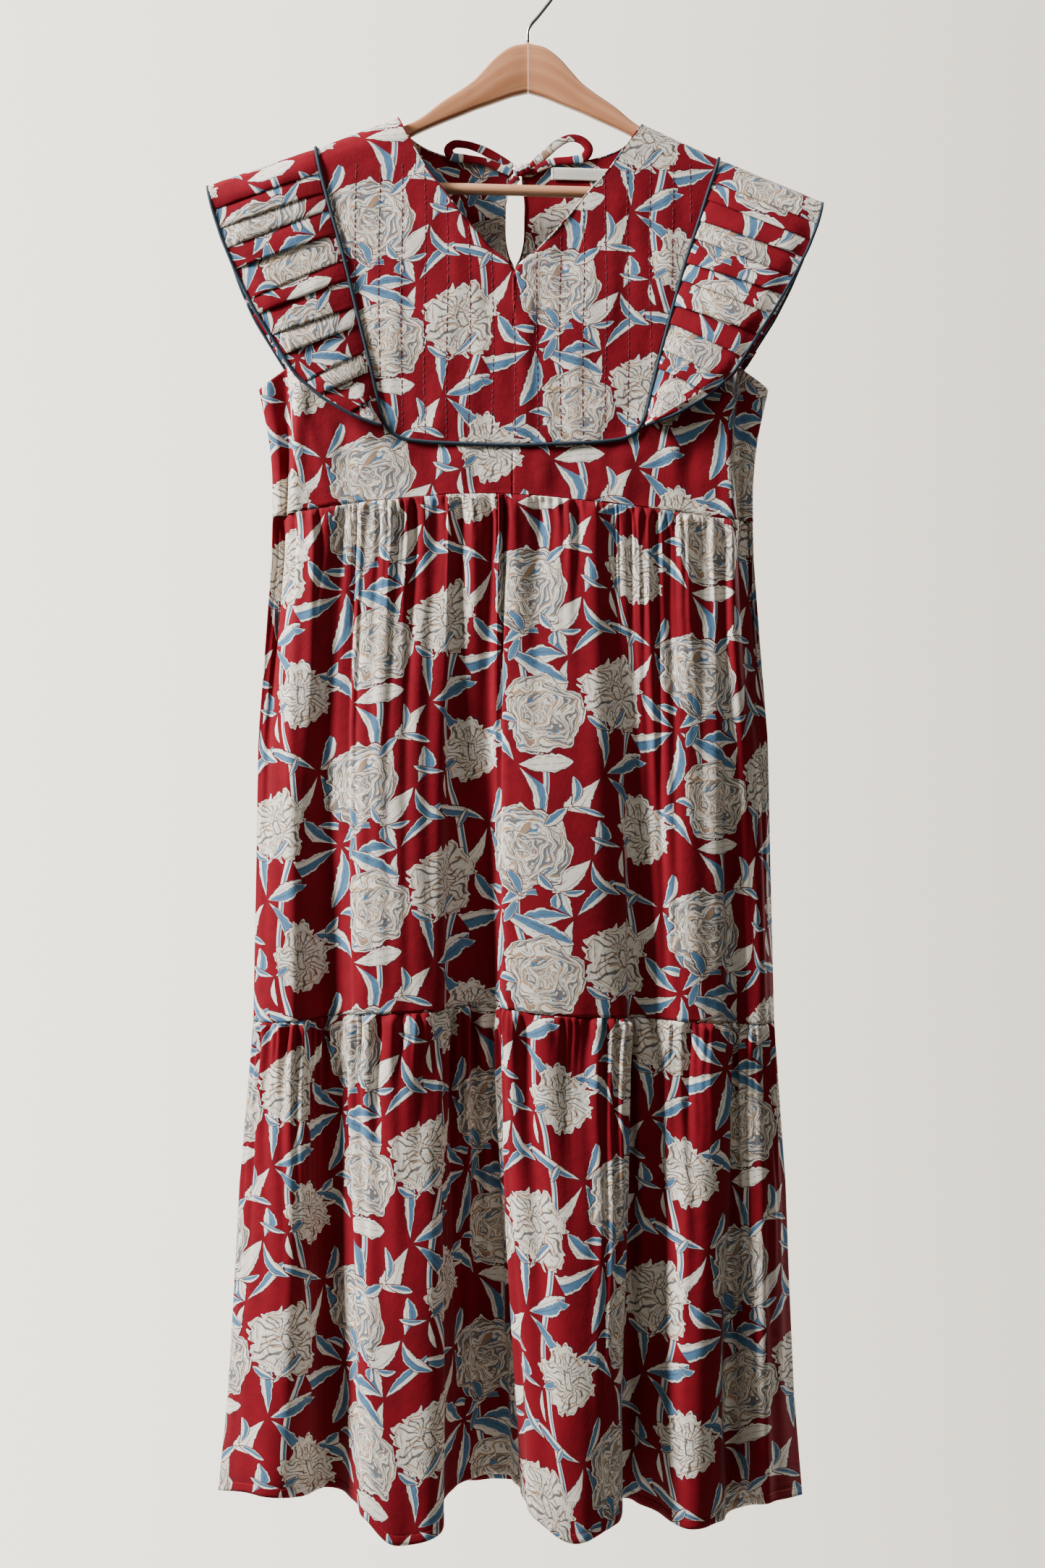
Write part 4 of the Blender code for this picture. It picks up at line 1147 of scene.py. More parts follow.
# value * factor + more
def scaled(tree, value, factor, more):
    return calc(tree, "MULTIPLY_ADD", value, factor, more)


def times(tree, value, factor):
    return calc(tree, "MULTIPLY", value, factor)


def plus(tree, value, more):
    return calc(tree, "ADD", value, more)


def minus(tree, value, less):
    return calc(tree, "SUBTRACT", value, less)


def parted(tree, value, divisor):
    return calc(tree, "DIVIDE", value, divisor)


def most(tree, value, other):
    return calc(tree, "MAXIMUM", value, other)


def sine(tree, value):
    return calc(tree, "SINE", value)


def vec(tree, operation, *values):
    node = tree.nodes.new("ShaderNodeVectorMath")
    node.operation = operation
    for socket, value in zip(node.inputs, values):
        plug(tree, socket, value)
    return node.outputs[1 if operation in ("DOT_PRODUCT", "LENGTH") else 0]


# 0 below low and 1 above high
def step(tree, value, low, high):
    node = tree.nodes.new("ShaderNodeMapRange")
    node.interpolation_type = "SMOOTHSTEP"
    plug(tree, node.inputs["Value"], value)
    plug(tree, node.inputs["From Min"], low)
    plug(tree, node.inputs["From Max"], high)
    return node.outputs[0]


# 1 near zero and 0 further away than width
def line(tree, value, width, soft=0.3):
    return step(tree, calc(tree, "ABSOLUTE", value), width + soft, width)


def paint(tree, factor, under, over):
    node = tree.nodes.new("ShaderNodeMix")
    node.data_type = "RGBA"
    plug(tree, node.inputs["Factor"], factor)
    plug(tree, node.inputs[6], under)
    plug(tree, node.inputs[7], over)
    return node.outputs[2]


def noise(tree, vector, scale, detail=2.0, rough=0.5):
    node = tree.nodes.new("ShaderNodeTexNoise")
    plug(tree, node.inputs["Vector"], vector)
    node.inputs["Scale"].default_value = scale
    node.inputs["Detail"].default_value = detail
    node.inputs["Roughness"].default_value = rough
    return node.outputs["Fac"], node.outputs["Color"]


def xyz(tree, x, y, z=0.0):
    node = tree.nodes.new("ShaderNodeCombineXYZ")
    for socket, value in zip(node.inputs, (x, y, z)):
        plug(tree, socket, value)
    return node.outputs[0]


def apart(tree, vector):
    node = tree.nodes.new("ShaderNodeSeparateXYZ")
    plug(tree, node.inputs[0], vector)
    return node.outputs


def scatter(tree, x, y):
    node = tree.nodes.new("ShaderNodeTexWhiteNoise")
    node.noise_dimensions = "2D"
    plug(tree, node.inputs["Vector"], xyz(tree, x, y))
    return apart(tree, node.outputs["Color"])


def newGroup(name, takes, gives):
    tree = bpy.data.node_groups.new(name, "ShaderNodeTree")
    for label in takes:
        tree.interface.new_socket(label, in_out="INPUT", socket_type="NodeSocketFloat")
    for label in gives:
        tree.interface.new_socket(label, in_out="OUTPUT", socket_type="NodeSocketFloat")
    entry = tree.nodes.new("NodeGroupInput")
    leave = tree.nodes.new("NodeGroupOutput")
    return tree, entry.outputs, leave.inputs


# A star of long leaves round a middle, cream with a blue stroke and a few hair lines, in millimetres
def leafGroup():
    takes = ["x", "y", "seed", "leaves", "length", "width"]
    tree, given, out = newGroup("leafStar", takes, ["fill", "blue", "dark", "ring"])
    x, y, seed, leaves, length, width = (given[name] for name in takes)
    fine = noise(tree, xyz(tree, x, y, seed), 0.22, 2.0)[0]
    far = calc(tree, "SQRT", plus(tree, times(tree, x, x), times(tree, y, y)))
    turn = calc(tree, "ARCTAN2", y, x)
    sector = parted(tree, math.tau, leaves)
    whole = calc(tree, "ROUND", parted(tree, turn, sector))
    wrapped = calc(tree, "FLOORED_MODULO", whole, leaves)
    chance = scatter(tree, wrapped, seed)
    chance2 = scatter(tree, plus(tree, wrapped, 7.3), seed)
    swing = scaled(tree, chance[0], 0.5, -0.25)
    bend = scaled(tree, chance[1], 1.7, -0.85)
    angle = minus(tree, minus(tree, turn, times(tree, whole, sector)), swing)
    ownLong = times(tree, length, scaled(tree, chance[2], 0.62, 0.5))
    along = parted(tree, times(tree, far, calc(tree, "COSINE", angle)), ownLong)
    across = times(tree, far, sine(tree, angle))
    curve = times(tree, times(tree, along, minus(tree, along, 1.0)), times(tree, bend, ownLong))
    across = plus(tree, across, curve)
    inside = most(tree, minus(tree, along, 0.05), 0.0)
    rest = most(tree, minus(tree, 1.0, along), 0.0)
    belly = times(tree, calc(tree, "POWER", inside, 1.15), calc(tree, "POWER", rest, 0.85))
    half = times(tree, belly, times(tree, width, scaled(tree, chance2[0], 0.75, 0.65)))
    half = times(tree, half, scaled(tree, fine, 0.7, 0.65))
    missing = calc(tree, "LESS_THAN", chance2[0], 0.22)
    missing = most(tree, missing, calc(tree, "GREATER_THAN", along, 1.0))
    missing = most(tree, missing, calc(tree, "LESS_THAN", along, 0.05))
    half = scaled(tree, missing, -40.0, half)
    edge = minus(tree, half, calc(tree, "ABSOLUTE", across))
    tree.links.new(step(tree, edge, 0.0, 0.45), out["fill"])
    share = parted(tree, across, most(tree, half, 0.4))
    sided = times(tree, share, calc(tree, "SIGN", minus(tree, chance2[1], 0.5)))
    allBlue = calc(tree, "LESS_THAN", chance2[2], 0.3)
    noBlue = calc(tree, "GREATER_THAN", chance2[2], 0.86)
    low = scaled(tree, allBlue, -0.6, scaled(tree, noBlue, 3.0, -0.3))
    low = plus(tree, low, scaled(tree, fine, 0.5, -0.25))
    blue = times(tree, step(tree, minus(tree, sided, low), 0.0, 0.16), step(tree, sided, 0.86, 0.68))
    blue = times(tree, blue, step(tree, half, 1.0, 1.7))
    tree.links.new(blue, out["blue"])
    hair = sine(tree, scaled(tree, share, 8.6, times(tree, chance2[1], 9.0)))
    hair = times(tree, step(tree, hair, 0.8, 0.97), step(tree, half, 1.7, 2.6))
    hair = times(tree, hair, step(tree, edge, 0.3, 0.9))
    hair = times(tree, hair, step(tree, fine, 0.38, 0.5))
    tree.links.new(hair, out["dark"])
    tree.links.new(step(tree, edge, -0.75, -0.4), out["ring"])
    return tree


# A round many-petalled flower. Its inner lines curl round it where it is smooth, and ray out where it is
# frilled.
def bloomGroup():
    takes = ["x", "y", "radius", "seed", "frill"]
    tree, given, out = newGroup("bloom", takes, ["fill", "dark", "tan", "blue", "ring"])
    x, y, radius, seed, frill = (given[name] for name in takes)
    first = xyz(tree, x, y, times(tree, seed, 9.0))
    bend = vec(tree, "SUBTRACT", noise(tree, first, 0.045, 1.0)[1], (0.5, 0.5, 0.5))
    place = vec(tree, "MULTIPLY_ADD", bend, (26.0, 26.0, 0.0), first)
    at = apart(tree, place)
    x = at[0]
    y = at[1]
    fine = noise(tree, first, 0.2, 2.0)[0]
    far = calc(tree, "SQRT", plus(tree, times(tree, x, x), times(tree, y, y)))
    turned = plus(tree, calc(tree, "ARCTAN2", y, x), seed)
    big = times(tree, calc(tree, "ABSOLUTE", sine(tree, times(tree, turned, 3.5))), 0.13)
    frills = times(tree, sine(tree, times(tree, turned, 17.0)), frill)
    jag = times(tree, sine(tree, scaled(tree, turned, 31.0, 1.1)), times(tree, frill, 0.7))
    shape = plus(tree, plus(tree, 0.92, big), plus(tree, frills, jag))
    limit = times(tree, radius, shape)
    edge = minus(tree, plus(tree, limit, scaled(tree, fine, 3.0, -1.5)), far)
    tree.links.new(step(tree, edge, 0.0, 0.5), out["fill"])
    tree.links.new(step(tree, edge, -0.8, -0.45), out["ring"])
    inner = step(tree, edge, 0.9, 1.8)
    # rings of scalloped petals, each ring turned against the last, in a slow spiral
    depth = plus(tree, parted(tree, far, 6.4), parted(tree, turned, math.tau))
    ring = calc(tree, "FLOOR", depth)
    scallop = calc(tree, "ABSOLUTE", sine(tree, scaled(tree, turned, 2.0, times(tree, ring, 1.37))))
    petal = plus(tree, scaled(tree, scallop, 0.8, depth), scaled(tree, fine, 0.6, -0.3))
    part = calc(tree, "FRACT", petal)
    breaks = noise(tree, first, 0.13, 1.0)[0]
    curl = times(tree, line(tree, minus(tree, part, 0.5), 0.07, 0.07), step(tree, breaks, 0.3, 0.4))
    curl2 = times(tree, line(tree, minus(tree, part, 0.18), 0.04, 0.05), step(tree, breaks, 0.62, 0.52))
    reach = parted(tree, far, limit)
    sway = scaled(tree, fine, 1.4, times(tree, reach, 2.4))
    rays = step(tree, sine(tree, scaled(tree, turned, 23.0, sway)), 0.5, 0.85)
    ends = scaled(tree, sine(tree, times(tree, turned, 5.0)), 0.12, 0.78)
    within = times(tree, step(tree, reach, 0.2, 0.27), step(tree, minus(tree, reach, ends), 0.04, -0.04))
    rays = times(tree, rays, within)
    rays = most(tree, rays, line(tree, minus(tree, reach, 0.17), 0.016, 0.02))
    frilled = calc(tree, "GREATER_THAN", frill, 0.03)
    lines = most(tree, curl, times(tree, curl2, 0.8))
    rayed = times(tree, rays, frilled)
    curled = times(tree, lines, minus(tree, 1.0, times(tree, frilled, 0.8)))
    dark = plus(tree, rayed, curled)
    rim = line(tree, minus(tree, edge, 2.1), 0.2, 0.45)
    rim = times(tree, rim, step(tree, breaks, 0.42, 0.5))
    dark = times(tree, calc(tree, "MINIMUM", most(tree, dark, rim), 1.0), inner)
    tree.links.new(dark, out["dark"])
    second = times(tree, line(tree, minus(tree, part, 0.8), 0.08, 0.08), step(tree, breaks, 0.36, 0.44))
    tree.links.new(times(tree, second, inner), out["tan"])
    crescent = times(tree, step(tree, part, 0.55, 0.62), step(tree, part, 1.0, 0.92))
    patch = noise(tree, first, 0.05, 0.0)[0]
    blue = times(tree, crescent, step(tree, patch, 0.45, 0.48))
    blue = times(tree, blue, scaled(tree, frilled, -0.75, 1.0))
    tree.links.new(times(tree, blue, inner), out["blue"])
    return tree


# The printed repeat: its width, height and the drop of each next column, in millimetres
repeatWide = 164.0
repeatTall = 225.0
repeatDrop = -60.0
# place in the repeat, turn, size, seed and, for blooms, how frilled the edge is
blooms = [
    (0.20, 0.80, 0.3, 36.0, 1.7, 0.01), (0.66, 0.52, 1.1, 31.0, 4.1, 0.055),
    (0.28, 0.33, 2.2, 33.0, 2.9, 0.012), (0.83, 0.06, 0.8, 27.0, 6.3, 0.06),
]
# place in the repeat, turn, length of the leaves, seed
stars = [(0.52, 0.87, 0.2, 62.0, 3.0), (0.05, 0.52, 1.0, 60.0, 11.0), (0.58, 0.20, 1.9, 64.0, 23.0)]
lowerStars = [(0.94, 0.80, 2.6, 56.0, 31.0), (0.42, 0.60, 0.7, 52.0, 43.0), (0.14, 0.10, 1.3, 54.0, 47.0)]
sprigs = [
    (0.35, 0.68, 0.4, 27.0, 5.0), (0.76, 0.74, 1.3, 28.0, 17.0), (0.02, 0.24, 2.1, 30.0, 29.0),
    (0.86, 0.34, 0.9, 29.0, 37.0), (0.42, 0.03, 1.6, 27.0, 41.0), (0.62, 0.37, 2.7, 29.0, 53.0),
    (0.17, 0.60, 0.1, 28.0, 61.0), (0.93, 0.57, 1.9, 30.0, 71.0), (0.67, 0.95, 0.7, 26.0, 83.0),
]


# Where the nearest of some motifs lies: its own x and y, and its size, seed and last value
def nearest(tree, place, rows):
    best = None
    for row in rows:
        shift = vec(tree, "SUBTRACT", place, (row[0] - 0.5, row[1] - 0.5, 0.0))
        inCell = vec(tree, "SUBTRACT", vec(tree, "FRACTION", shift), (0.5, 0.5, 0.0))
        cos = math.cos(row[2])
        sin = math.sin(row[2])
        x = vec(tree, "DOT_PRODUCT", inCell, (repeatWide * cos + repeatDrop * sin, repeatTall * sin, 0.0))
        y = vec(tree, "DOT_PRODUCT", inCell, (repeatDrop * cos - repeatWide * sin, repeatTall * cos, 0.0))
        own = xyz(tree, x, y)
        away = parted(tree, vec(tree, "LENGTH", own), row[3])
        facts = (row[3], row[4], row[5] if len(row) > 5 else 0.0)
        if best is None:
            best = (own, facts, away)
            continue
        closer = calc(tree, "LESS_THAN", away, best[2])
        picked = []
        for low, high in ((best[0], own), (best[1], facts)):
            node = tree.nodes.new("ShaderNodeMix")
            node.data_type = "VECTOR"
            plug(tree, node.inputs["Factor"], closer)
            plug(tree, node.inputs[4], low)
            plug(tree, node.inputs[5], high)
            picked.append(node.outputs[1])
        best = (picked[0], picked[1], calc(tree, "MINIMUM", away, best[2]))
    return apart(tree, best[0]), apart(tree, best[1])


def useGroup(tree, group, *values):
    node = tree.nodes.new("ShaderNodeGroup")
    node.node_tree = group
    for socket, value in zip(node.inputs, values):
        plug(tree, socket, value)
    return node.outputs


# The print's colours
inks = {
    "ground": (0.185, 0.0002, 0.0085, 1),
    "cream": (0.78, 0.725, 0.64, 1),
    "blue": (0.075, 0.17, 0.29, 1),
    "dark": (0.045, 0.042, 0.048, 1),
    "tan": (0.38, 0.22, 0.11, 1),
    "outline": (0.075, 0.012, 0.02, 1),
}


def startMaterial(name, roughness, metallic=0.0):
    material = bpy.data.materials.new(name)
    material.use_nodes = True
    tree = material.node_tree
    shader = tree.nodes["Principled BSDF"]
    shader.inputs["Roughness"].default_value = roughness
    shader.inputs["Metallic"].default_value = metallic
    return material, tree, shader


def flatCloth(tree):
    node = tree.nodes.new("ShaderNodeUVMap")
    node.uv_map = "cloth"
    return node.outputs[0]


def addBump(tree, shader, height, distance, strength):
    node = tree.nodes.new("ShaderNodeBump")
    node.inputs["Distance"].default_value = distance
    node.inputs["Strength"].default_value = strength
    plug(tree, node.inputs["Height"], height)
    tree.links.new(node.outputs[0], shader.inputs["Normal"])


# Cotton's weave and its thicker threads, as a height
def weave(tree, cloth):
    across = noise(tree, vec(tree, "MULTIPLY", cloth, (900.0, 120.0, 1.0)), 1.0, 1.0)[0]
    down = noise(tree, vec(tree, "MULTIPLY", cloth, (120.0, 900.0, 1.0)), 1.0, 1.0)[0]
    rumple = noise(tree, cloth, 130.0, 3.0, 0.6)[0]
    threads = plus(tree, across, down)
    return plus(tree, times(tree, threads, 0.3), times(tree, rumple, 1.4)), rumple, threads


def printMaterial(name, shift, leafTree, bloomTree):
    material, tree, shader = startMaterial(name, 0.82)
    cloth = flatCloth(tree)
    drift = noise(tree, cloth, 14.0, 1.0)[1]
    drift = vec(tree, "SUBTRACT", drift, (0.5, 0.5, 0.5))
    moved = vec(tree, "MULTIPLY_ADD", drift, (0.016, 0.016, 0.0), cloth)
    moved = vec(tree, "ADD", moved, (*shift, 0.0))
    at = apart(tree, moved)
    across = times(tree, at[0], 1000.0 / repeatWide)
    down = minus(tree, times(tree, at[1], 1000.0), times(tree, across, repeatDrop))
    place = xyz(tree, across, parted(tree, down, repeatTall))
    tone = noise(tree, cloth, 45.0, 3.0, 0.65)[0]
    colour = paint(tree, step(tree, tone, 0.3, 0.72), inks["ground"], (0.14, 0.0002, 0.0062, 1))
    # two waving stems in each repeat
    middle = vec(tree, "SUBTRACT", vec(tree, "FRACTION", place), (0.5, 0.5, 0.0))
    for begin, size, turn in ((-0.27, 0.075, 1.1), (0.24, 0.06, 3.9)):
        wave = sine(tree, scaled(tree, apart(tree, place)[1], math.tau, turn))
        off = minus(tree, apart(tree, middle)[0], scaled(tree, wave, size, begin))
        off = times(tree, off, repeatWide)
        colour = paint(tree, line(tree, off, 2.5, 0.4), colour, inks["cream"])
        colour = paint(tree, line(tree, minus(tree, off, 0.9), 0.85, 0.4), colour, inks["blue"])
    layers = ((lowerStars, 5.0, 24.0), (stars, 5.0, 26.0), (blooms, 0, 0), (sprigs, 3.0, 13.0))
    for rows, leaves, width in layers:
        own, facts = nearest(tree, place, rows)
        if leaves:
            found = useGroup(tree, leafTree, own[0], own[1], facts[1], leaves, facts[0], width)
            strokes = {"dark": 0.6}
        else:
            found = useGroup(tree, bloomTree, own[0], own[1], facts[0], facts[1], facts[2])
            strokes = {"tan": 0.9, "dark": 0.85}
        for shape, ink in (("ring", "outline"), ("fill", "cream"), ("blue", "blue")):
            colour = paint(tree, found[shape], colour, inks[ink])
        for ink, strength in strokes.items():
            colour = paint(tree, times(tree, found[ink], strength), colour, inks[ink])
    height, rumple, threads = weave(tree, cloth)
    shade = scaled(tree, tone, 0.16, scaled(tree, threads, 0.1, 0.82))
    node = tree.nodes.new("ShaderNodeVectorMath")
    node.operation = "SCALE"
    tree.links.new(colour, node.inputs[0])
    tree.links.new(shade, node.inputs["Scale"])
    tree.links.new(node.outputs[0], shader.inputs["Base Color"])
    shader.inputs["Sheen Weight"].default_value = 0.03
    shader.inputs["Sheen Roughness"].default_value = 0.6
    shader.inputs["Specular IOR Level"].default_value = 0.12
    addBump(tree, shader, height, 0.0005, 0.55)
    return material


def plainCloth(name, colour, roughness, scale):
    material, tree, shader = startMaterial(name, roughness)
    cloth = flatCloth(tree)
    twill = noise(tree, vec(tree, "MULTIPLY", cloth, (scale, scale * 2.2, 1.0)), 1.0, 2.0)[0]
    lighter = (*(part * 1.35 + 0.004 for part in colour), 1)
    darker = (*(part * 0.72 for part in colour), 1)
    tree.links.new(paint(tree, step(tree, twill, 0.3, 0.7), darker, lighter), shader.inputs["Base Color"])
    shader.inputs["Sheen Weight"].default_value = 0.1
    shader.inputs["Specular IOR Level"].default_value = 0.25
    addBump(tree, shader, twill, 0.0003, 0.6)
    return material


def woodMaterial(name, light, dark, along, shift):
    material, tree, shader = startMaterial(name, 0.42)
    cloth = vec(tree, "ADD", flatCloth(tree), (shift, shift * 0.7, 0.0))
    stretch = vec(tree, "MULTIPLY", cloth, (along, along * 17.0, 1.0))
    rings = noise(tree, stretch, 1.0, 4.0, 0.6)[0]
    pores = noise(tree, vec(tree, "MULTIPLY", cloth, (along * 9.0, along * 130.0, 1.0)), 1.0, 1.0)[0]
    colour = paint(tree, step(tree, rings, 0.28, 0.74), light, dark)
    flecks = step(tree, pores, 0.62, 0.74)
    pore = (*(part * 0.62 for part in dark[:3]), 1)
    colour = paint(tree, times(tree, flecks, 0.35), colour, pore)
    tree.links.new(colour, shader.inputs["Base Color"])
    shader.inputs["Coat Weight"].default_value = 0.25
    shader.inputs["Coat Roughness"].default_value = 0.3
    addBump(tree, shader, minus(tree, rings, times(tree, flecks, 0.5)), 0.0003, 0.35)
    return material


leafTree = leafGroup()
bloomTree = bloomGroup()
frontPrint = printMaterial("printFront", (0.004, 0.012), leafTree, bloomTree)
backPrint = printMaterial("printBack", (0.071, 0.093), leafTree, bloomTree)
skirtPrint = printMaterial("printSkirt", (0.033, 0.052), leafTree, bloomTree)
flangePrint = printMaterial("printFlange", (0.052, 0.14), leafTree, bloomTree)
navyCloth = plainCloth("navyPiping", (0.006, 0.02, 0.037), 0.7, 900.0)
labelCloth = plainCloth("bareLabel", (0.68, 0.66, 0.6), 0.75, 1500.0)
maroonThread = plainCloth("maroonThread", (0.11, 0.008, 0.018), 0.75, 1200.0)
redThread = plainCloth("redThread", (0.3, 0.012, 0.02), 0.75, 1200.0)
paleThread = plainCloth("paleThread", (0.5, 0.46, 0.4), 0.75, 1200.0)
armWood = woodMaterial("armWood", (0.56, 0.26, 0.13, 1), (0.42, 0.165, 0.075, 1), 5.5, 0.31)
barWood = woodMaterial("barWood", (0.62, 0.33, 0.19, 1), (0.5, 0.235, 0.125, 1), 4.0, 1.7)
wireMetal, wireTree, wireShader = startMaterial("nickelWire", 0.28, 1.0)
wireShader.inputs["Base Color"].default_value = (0.52, 0.51, 0.49, 1)
print("materials made")

makeYoke("front", frontYoke, -1, frontPrint)
makeYoke("back", backYoke, 1, backPrint)
makeBodice("front", frontYoke, -1, frontPrint)
makeBodice("back", backYoke, 1, backPrint)
print("yokes and bodices made")
makeSkirt("upperFront", frontFolds, frontYoke, -1, 460, 7.5, (-0.013, -0.48), skirtPrint)
makeSkirt("lowerFront", frontFolds, frontYoke, -1, 460, 7.5, (0.041, -0.02), skirtPrint)
makeSkirt("upperBack", backFolds, backYoke, 1, 380, 8, (0.06, -0.2), skirtPrint)
makeSkirt("lowerBack", backFolds, backYoke, 1, 380, 8, (0.02, -0.09), skirtPrint)
print("skirts made")
for which, side in (("left", -1), ("right", 1)):
    makeFlange(which, side, flangePrint)
    path = evenPath(wingEdge(side), 2.0, 3)
    tubeMesh(f"flangePiping{which.title()}", path, 1.4 * mm, 1.4 * mm, 12, navyCloth)
for which, table, face in (("front", frontYoke, -1), ("back", backYoke, 1)):
    path = yokePipingPath(table, face, 1.1)
    tubeMesh(f"yokePiping{which.title()}", path, 1.75 * mm, 1.6 * mm, 12, navyCloth)
    lines = quiltLines(which, table, face)
    name = f"quilting{which.title()}"
    stitchMesh(name, lines, maroonThread, pitch=5.4, length=3.7, width=0.95, height=0.24)
print("flanges, piping and quilting made")

for which, table, face in (("front", frontYoke, -1), ("back", backYoke, 1)):
    material = frontPrint if face < 0 else backPrint
    rim = neckEdge(table, face, 0.1) + np.array([0, -face * 0.35, 0]) * mm
    tubeMesh(f"neckRoll{which.title()}", evenPath(rim, 2.0, 1), 0.75 * mm, 0.7 * mm, 10, material)
makeTie(backPrint)
makeLabel(labelCloth, paleThread)
makeHanger(armWood, barWood, wireMetal)
print("ties, label and hanger made")

# Hem stitches, short of the side seams
for part, face in (("lowerFront", -1), ("lowerBack", 1)):
    grid = skirtGrids[part]
    row = grid[-4, 4:-4]
    normals = gridNormals(grid, (0, face, 0))[-4, 4:-4]
    name = f"hemStitches{part[5:]}"
    stitchMesh(name, [(row, normals)], redThread, pitch=3.1, length=2.1, width=0.4, height=0.12, sink=0.2)
print("stitches made")

stands = {
    "yokeFrontCloth": ("yoke_front", "print_cloth"),
    "yokeBackCloth": ("yoke_back", "print_cloth"),
    "bodiceFrontCloth": ("bodice_front", "print_cloth"),
    "bodiceBackCloth": ("bodice_back", "print_cloth"),
    "skirtUpperFrontCloth": ("skirt_upper_front", "print_cloth"),
    "skirtUpperBackCloth": ("skirt_upper_back", "print_cloth"),
    "skirtLowerFrontCloth": ("skirt_lower_front", "print_cloth"),
    "skirtLowerBackCloth": ("skirt_lower_back", "print_cloth"),
    "flangeLeftCloth": ("flange_left", "print_cloth"),
    "flangeRightCloth": ("flange_right", "print_cloth"),
    "flangePipingLeft": ("piping_flange_left", "piping_cloth"),
    "flangePipingRight": ("piping_flange_right", "piping_cloth"),
    "yokePipingFront": ("piping_yoke_front", "piping_cloth"),
    "yokePipingBack": ("piping_yoke_back", "piping_cloth"),
    "tieLoopLeft": ("tie_loop_left", "print_cloth"),
    "tieLoopRight": ("tie_loop_right", "print_cloth"),
    "tieTail": ("tie_tail", "print_cloth"),
    "tieKnot": ("tie_knot", "print_cloth"),
    "labelCloth": ("neck_label", "label_cloth"),
    "armLeftWood": ("hanger_arm_left", "hanger_wood"),
    "armRightWood": ("hanger_arm_right", "hanger_wood"),
    "barWood": ("hanger_bar", "hanger_wood"),
    "hookWire": ("hanger_hook", "hook_wire"),
    "neckRollFront": (None, "print_cloth"),
    "neckRollBack": (None, "print_cloth"),
}
for name, made in pieces.items():
    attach(made, "root")
    node, slot = stands.get(name, (None, None))
    if node:
        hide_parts(node)

# Each sheet: how it is held, the pieces it rests on and the pieces that go with it. Its places on the flat
# cloth are read.
arms = ["armLeftWood", "armRightWood"]
sheets = {
    "yokeFrontCloth": ("hung", arms, ["yokePipingFront", "quiltingFront", "neckRollFront"]),
    "yokeBackCloth": ("hung", arms, ["yokePipingBack", "quiltingBack", "neckRollBack"]),
    "bodiceFrontCloth": ("hung", ["yokeFrontCloth"], []),
    "bodiceBackCloth": ("hung", ["yokeBackCloth"], []),
    "skirtUpperFrontCloth": ("gathered", ["bodiceFrontCloth"], []),
    "skirtUpperBackCloth": ("gathered", ["bodiceBackCloth"], []),
    "skirtLowerFrontCloth": ("gathered", ["skirtUpperFrontCloth"], ["hemStitchesFront"]),
    "skirtLowerBackCloth": ("gathered", ["skirtUpperBackCloth"], ["hemStitchesBack"]),
    "flangeLeftCloth": ("folded", ["yokeFrontCloth", "yokeBackCloth"], ["flangePipingLeft"]),
    "flangeRightCloth": ("folded", ["yokeFrontCloth", "yokeBackCloth"], ["flangePipingRight"]),
    "labelCloth": ("hung", ["yokeBackCloth"], ["labelStitches"]),
}
for name, (held, rests, more) in sheets.items():
    made = pieces[name]
    layer = made.data.uv_layers["cloth"]
    places = np.empty(len(layer.data) * 2)
    layer.data.foreach_get("uv", places)
    more = [pieces[piece] for piece in more]
for name, long in tieLengths.items():
    more = [pieces["tieKnot"]] if name == "tieLoopLeft" else []
    print(name, "cut", 0.01, round(long, 4))

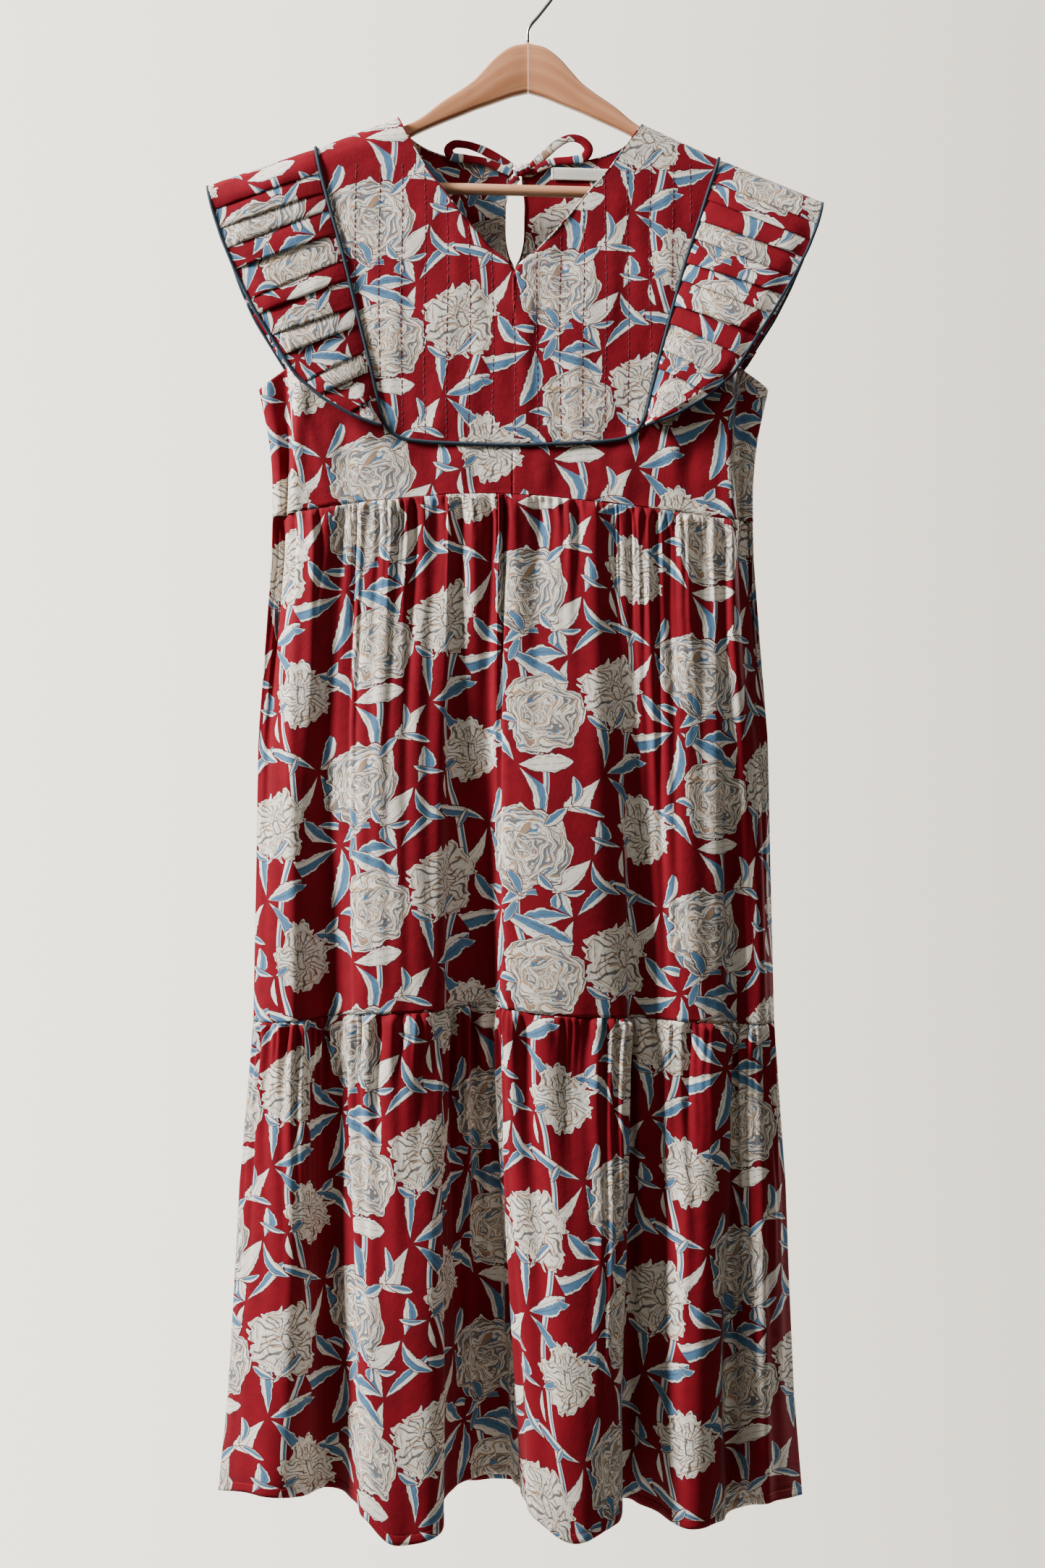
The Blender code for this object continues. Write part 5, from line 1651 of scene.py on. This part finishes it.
# Stage: a pale floor below the hem, out of the photo's own view, and soft light mostly from the left
floorMaterial, floorTree, floorShader = startMaterial("paleFloor", 0.9)
floorShader.inputs["Base Color"].default_value = (0.68, 0.66, 0.62, 1)
bpy.ops.mesh.primitive_circle_add(vertices=96, radius=1.0, fill_type="NGON", location=(0, 0, -2.25))
floor = bpy.context.object
floor.name = "floor"
floor.data.materials.append(floorMaterial)

# Bright behind the dress, as a wall by a window, and dimmer in front
world = bpy.data.worlds.new("paleRoom")
bpy.context.scene.world = world
world.use_nodes = True
worldTree = world.node_tree
background = worldTree.nodes["Background"]
background.inputs["Color"].default_value = (0.87, 0.80, 0.68, 1)
heading = apart(worldTree, worldTree.nodes.new("ShaderNodeTexCoord").outputs["Generated"])
behind = step(worldTree, heading[1], 0.62, 0.92)
toRight = step(worldTree, heading[0], -0.5, 0.5)
glow = scaled(worldTree, behind, 2.0, 0.1)
strength = times(worldTree, glow, scaled(worldTree, toRight, -1.3, 1.98))
worldTree.links.new(strength, background.inputs["Strength"])


def areaLight(name, place, target, power, wide, tall, colour):
    data = bpy.data.lights.new(name, "AREA")
    data.shape = "RECTANGLE"
    data.size = wide
    data.size_y = tall
    data.energy = power
    data.color = colour
    made = bpy.data.objects.new(name, data)
    made.location = place
    made.rotation_euler = (Vector(target) - Vector(place)).to_track_quat("-Z", "Y").to_euler()
    bpy.context.scene.collection.objects.link(made)


areaLight("windowLight", (-2.3, -0.72, 1.0), (0, 0, -0.45), 312, 0.5, 1.1, (1.0, 0.985, 0.96))
areaLight("softFill", (0.7, -0.9, 1.25), (0, 0, -0.35), 13, 0.6, 0.6, (1.0, 0.98, 0.95))
areaLight("backLight", (2.0, 1.9, 0.6), (0, 0, -0.6), 130, 0.5, 1.1, (1.0, 0.98, 0.95))

# Half the photo's height in metres, at this distance in front of the camera
viewHalf = 0.6826
viewDistance = 2.2
camera = bpy.data.cameras.new("photoView")
camera.sensor_fit = "VERTICAL"
camera.angle_y = 2 * math.atan(viewHalf / viewDistance)
camera.dof.use_dof = False
eye = bpy.data.objects.new("photoView", camera)
eye.location = (-0.00484, -2.225, -0.7283)
eye.rotation_euler = (math.radians(90), 0, 0)
bpy.context.scene.collection.objects.link(eye)
bpy.context.scene.camera = eye

print("stage, light and camera made")
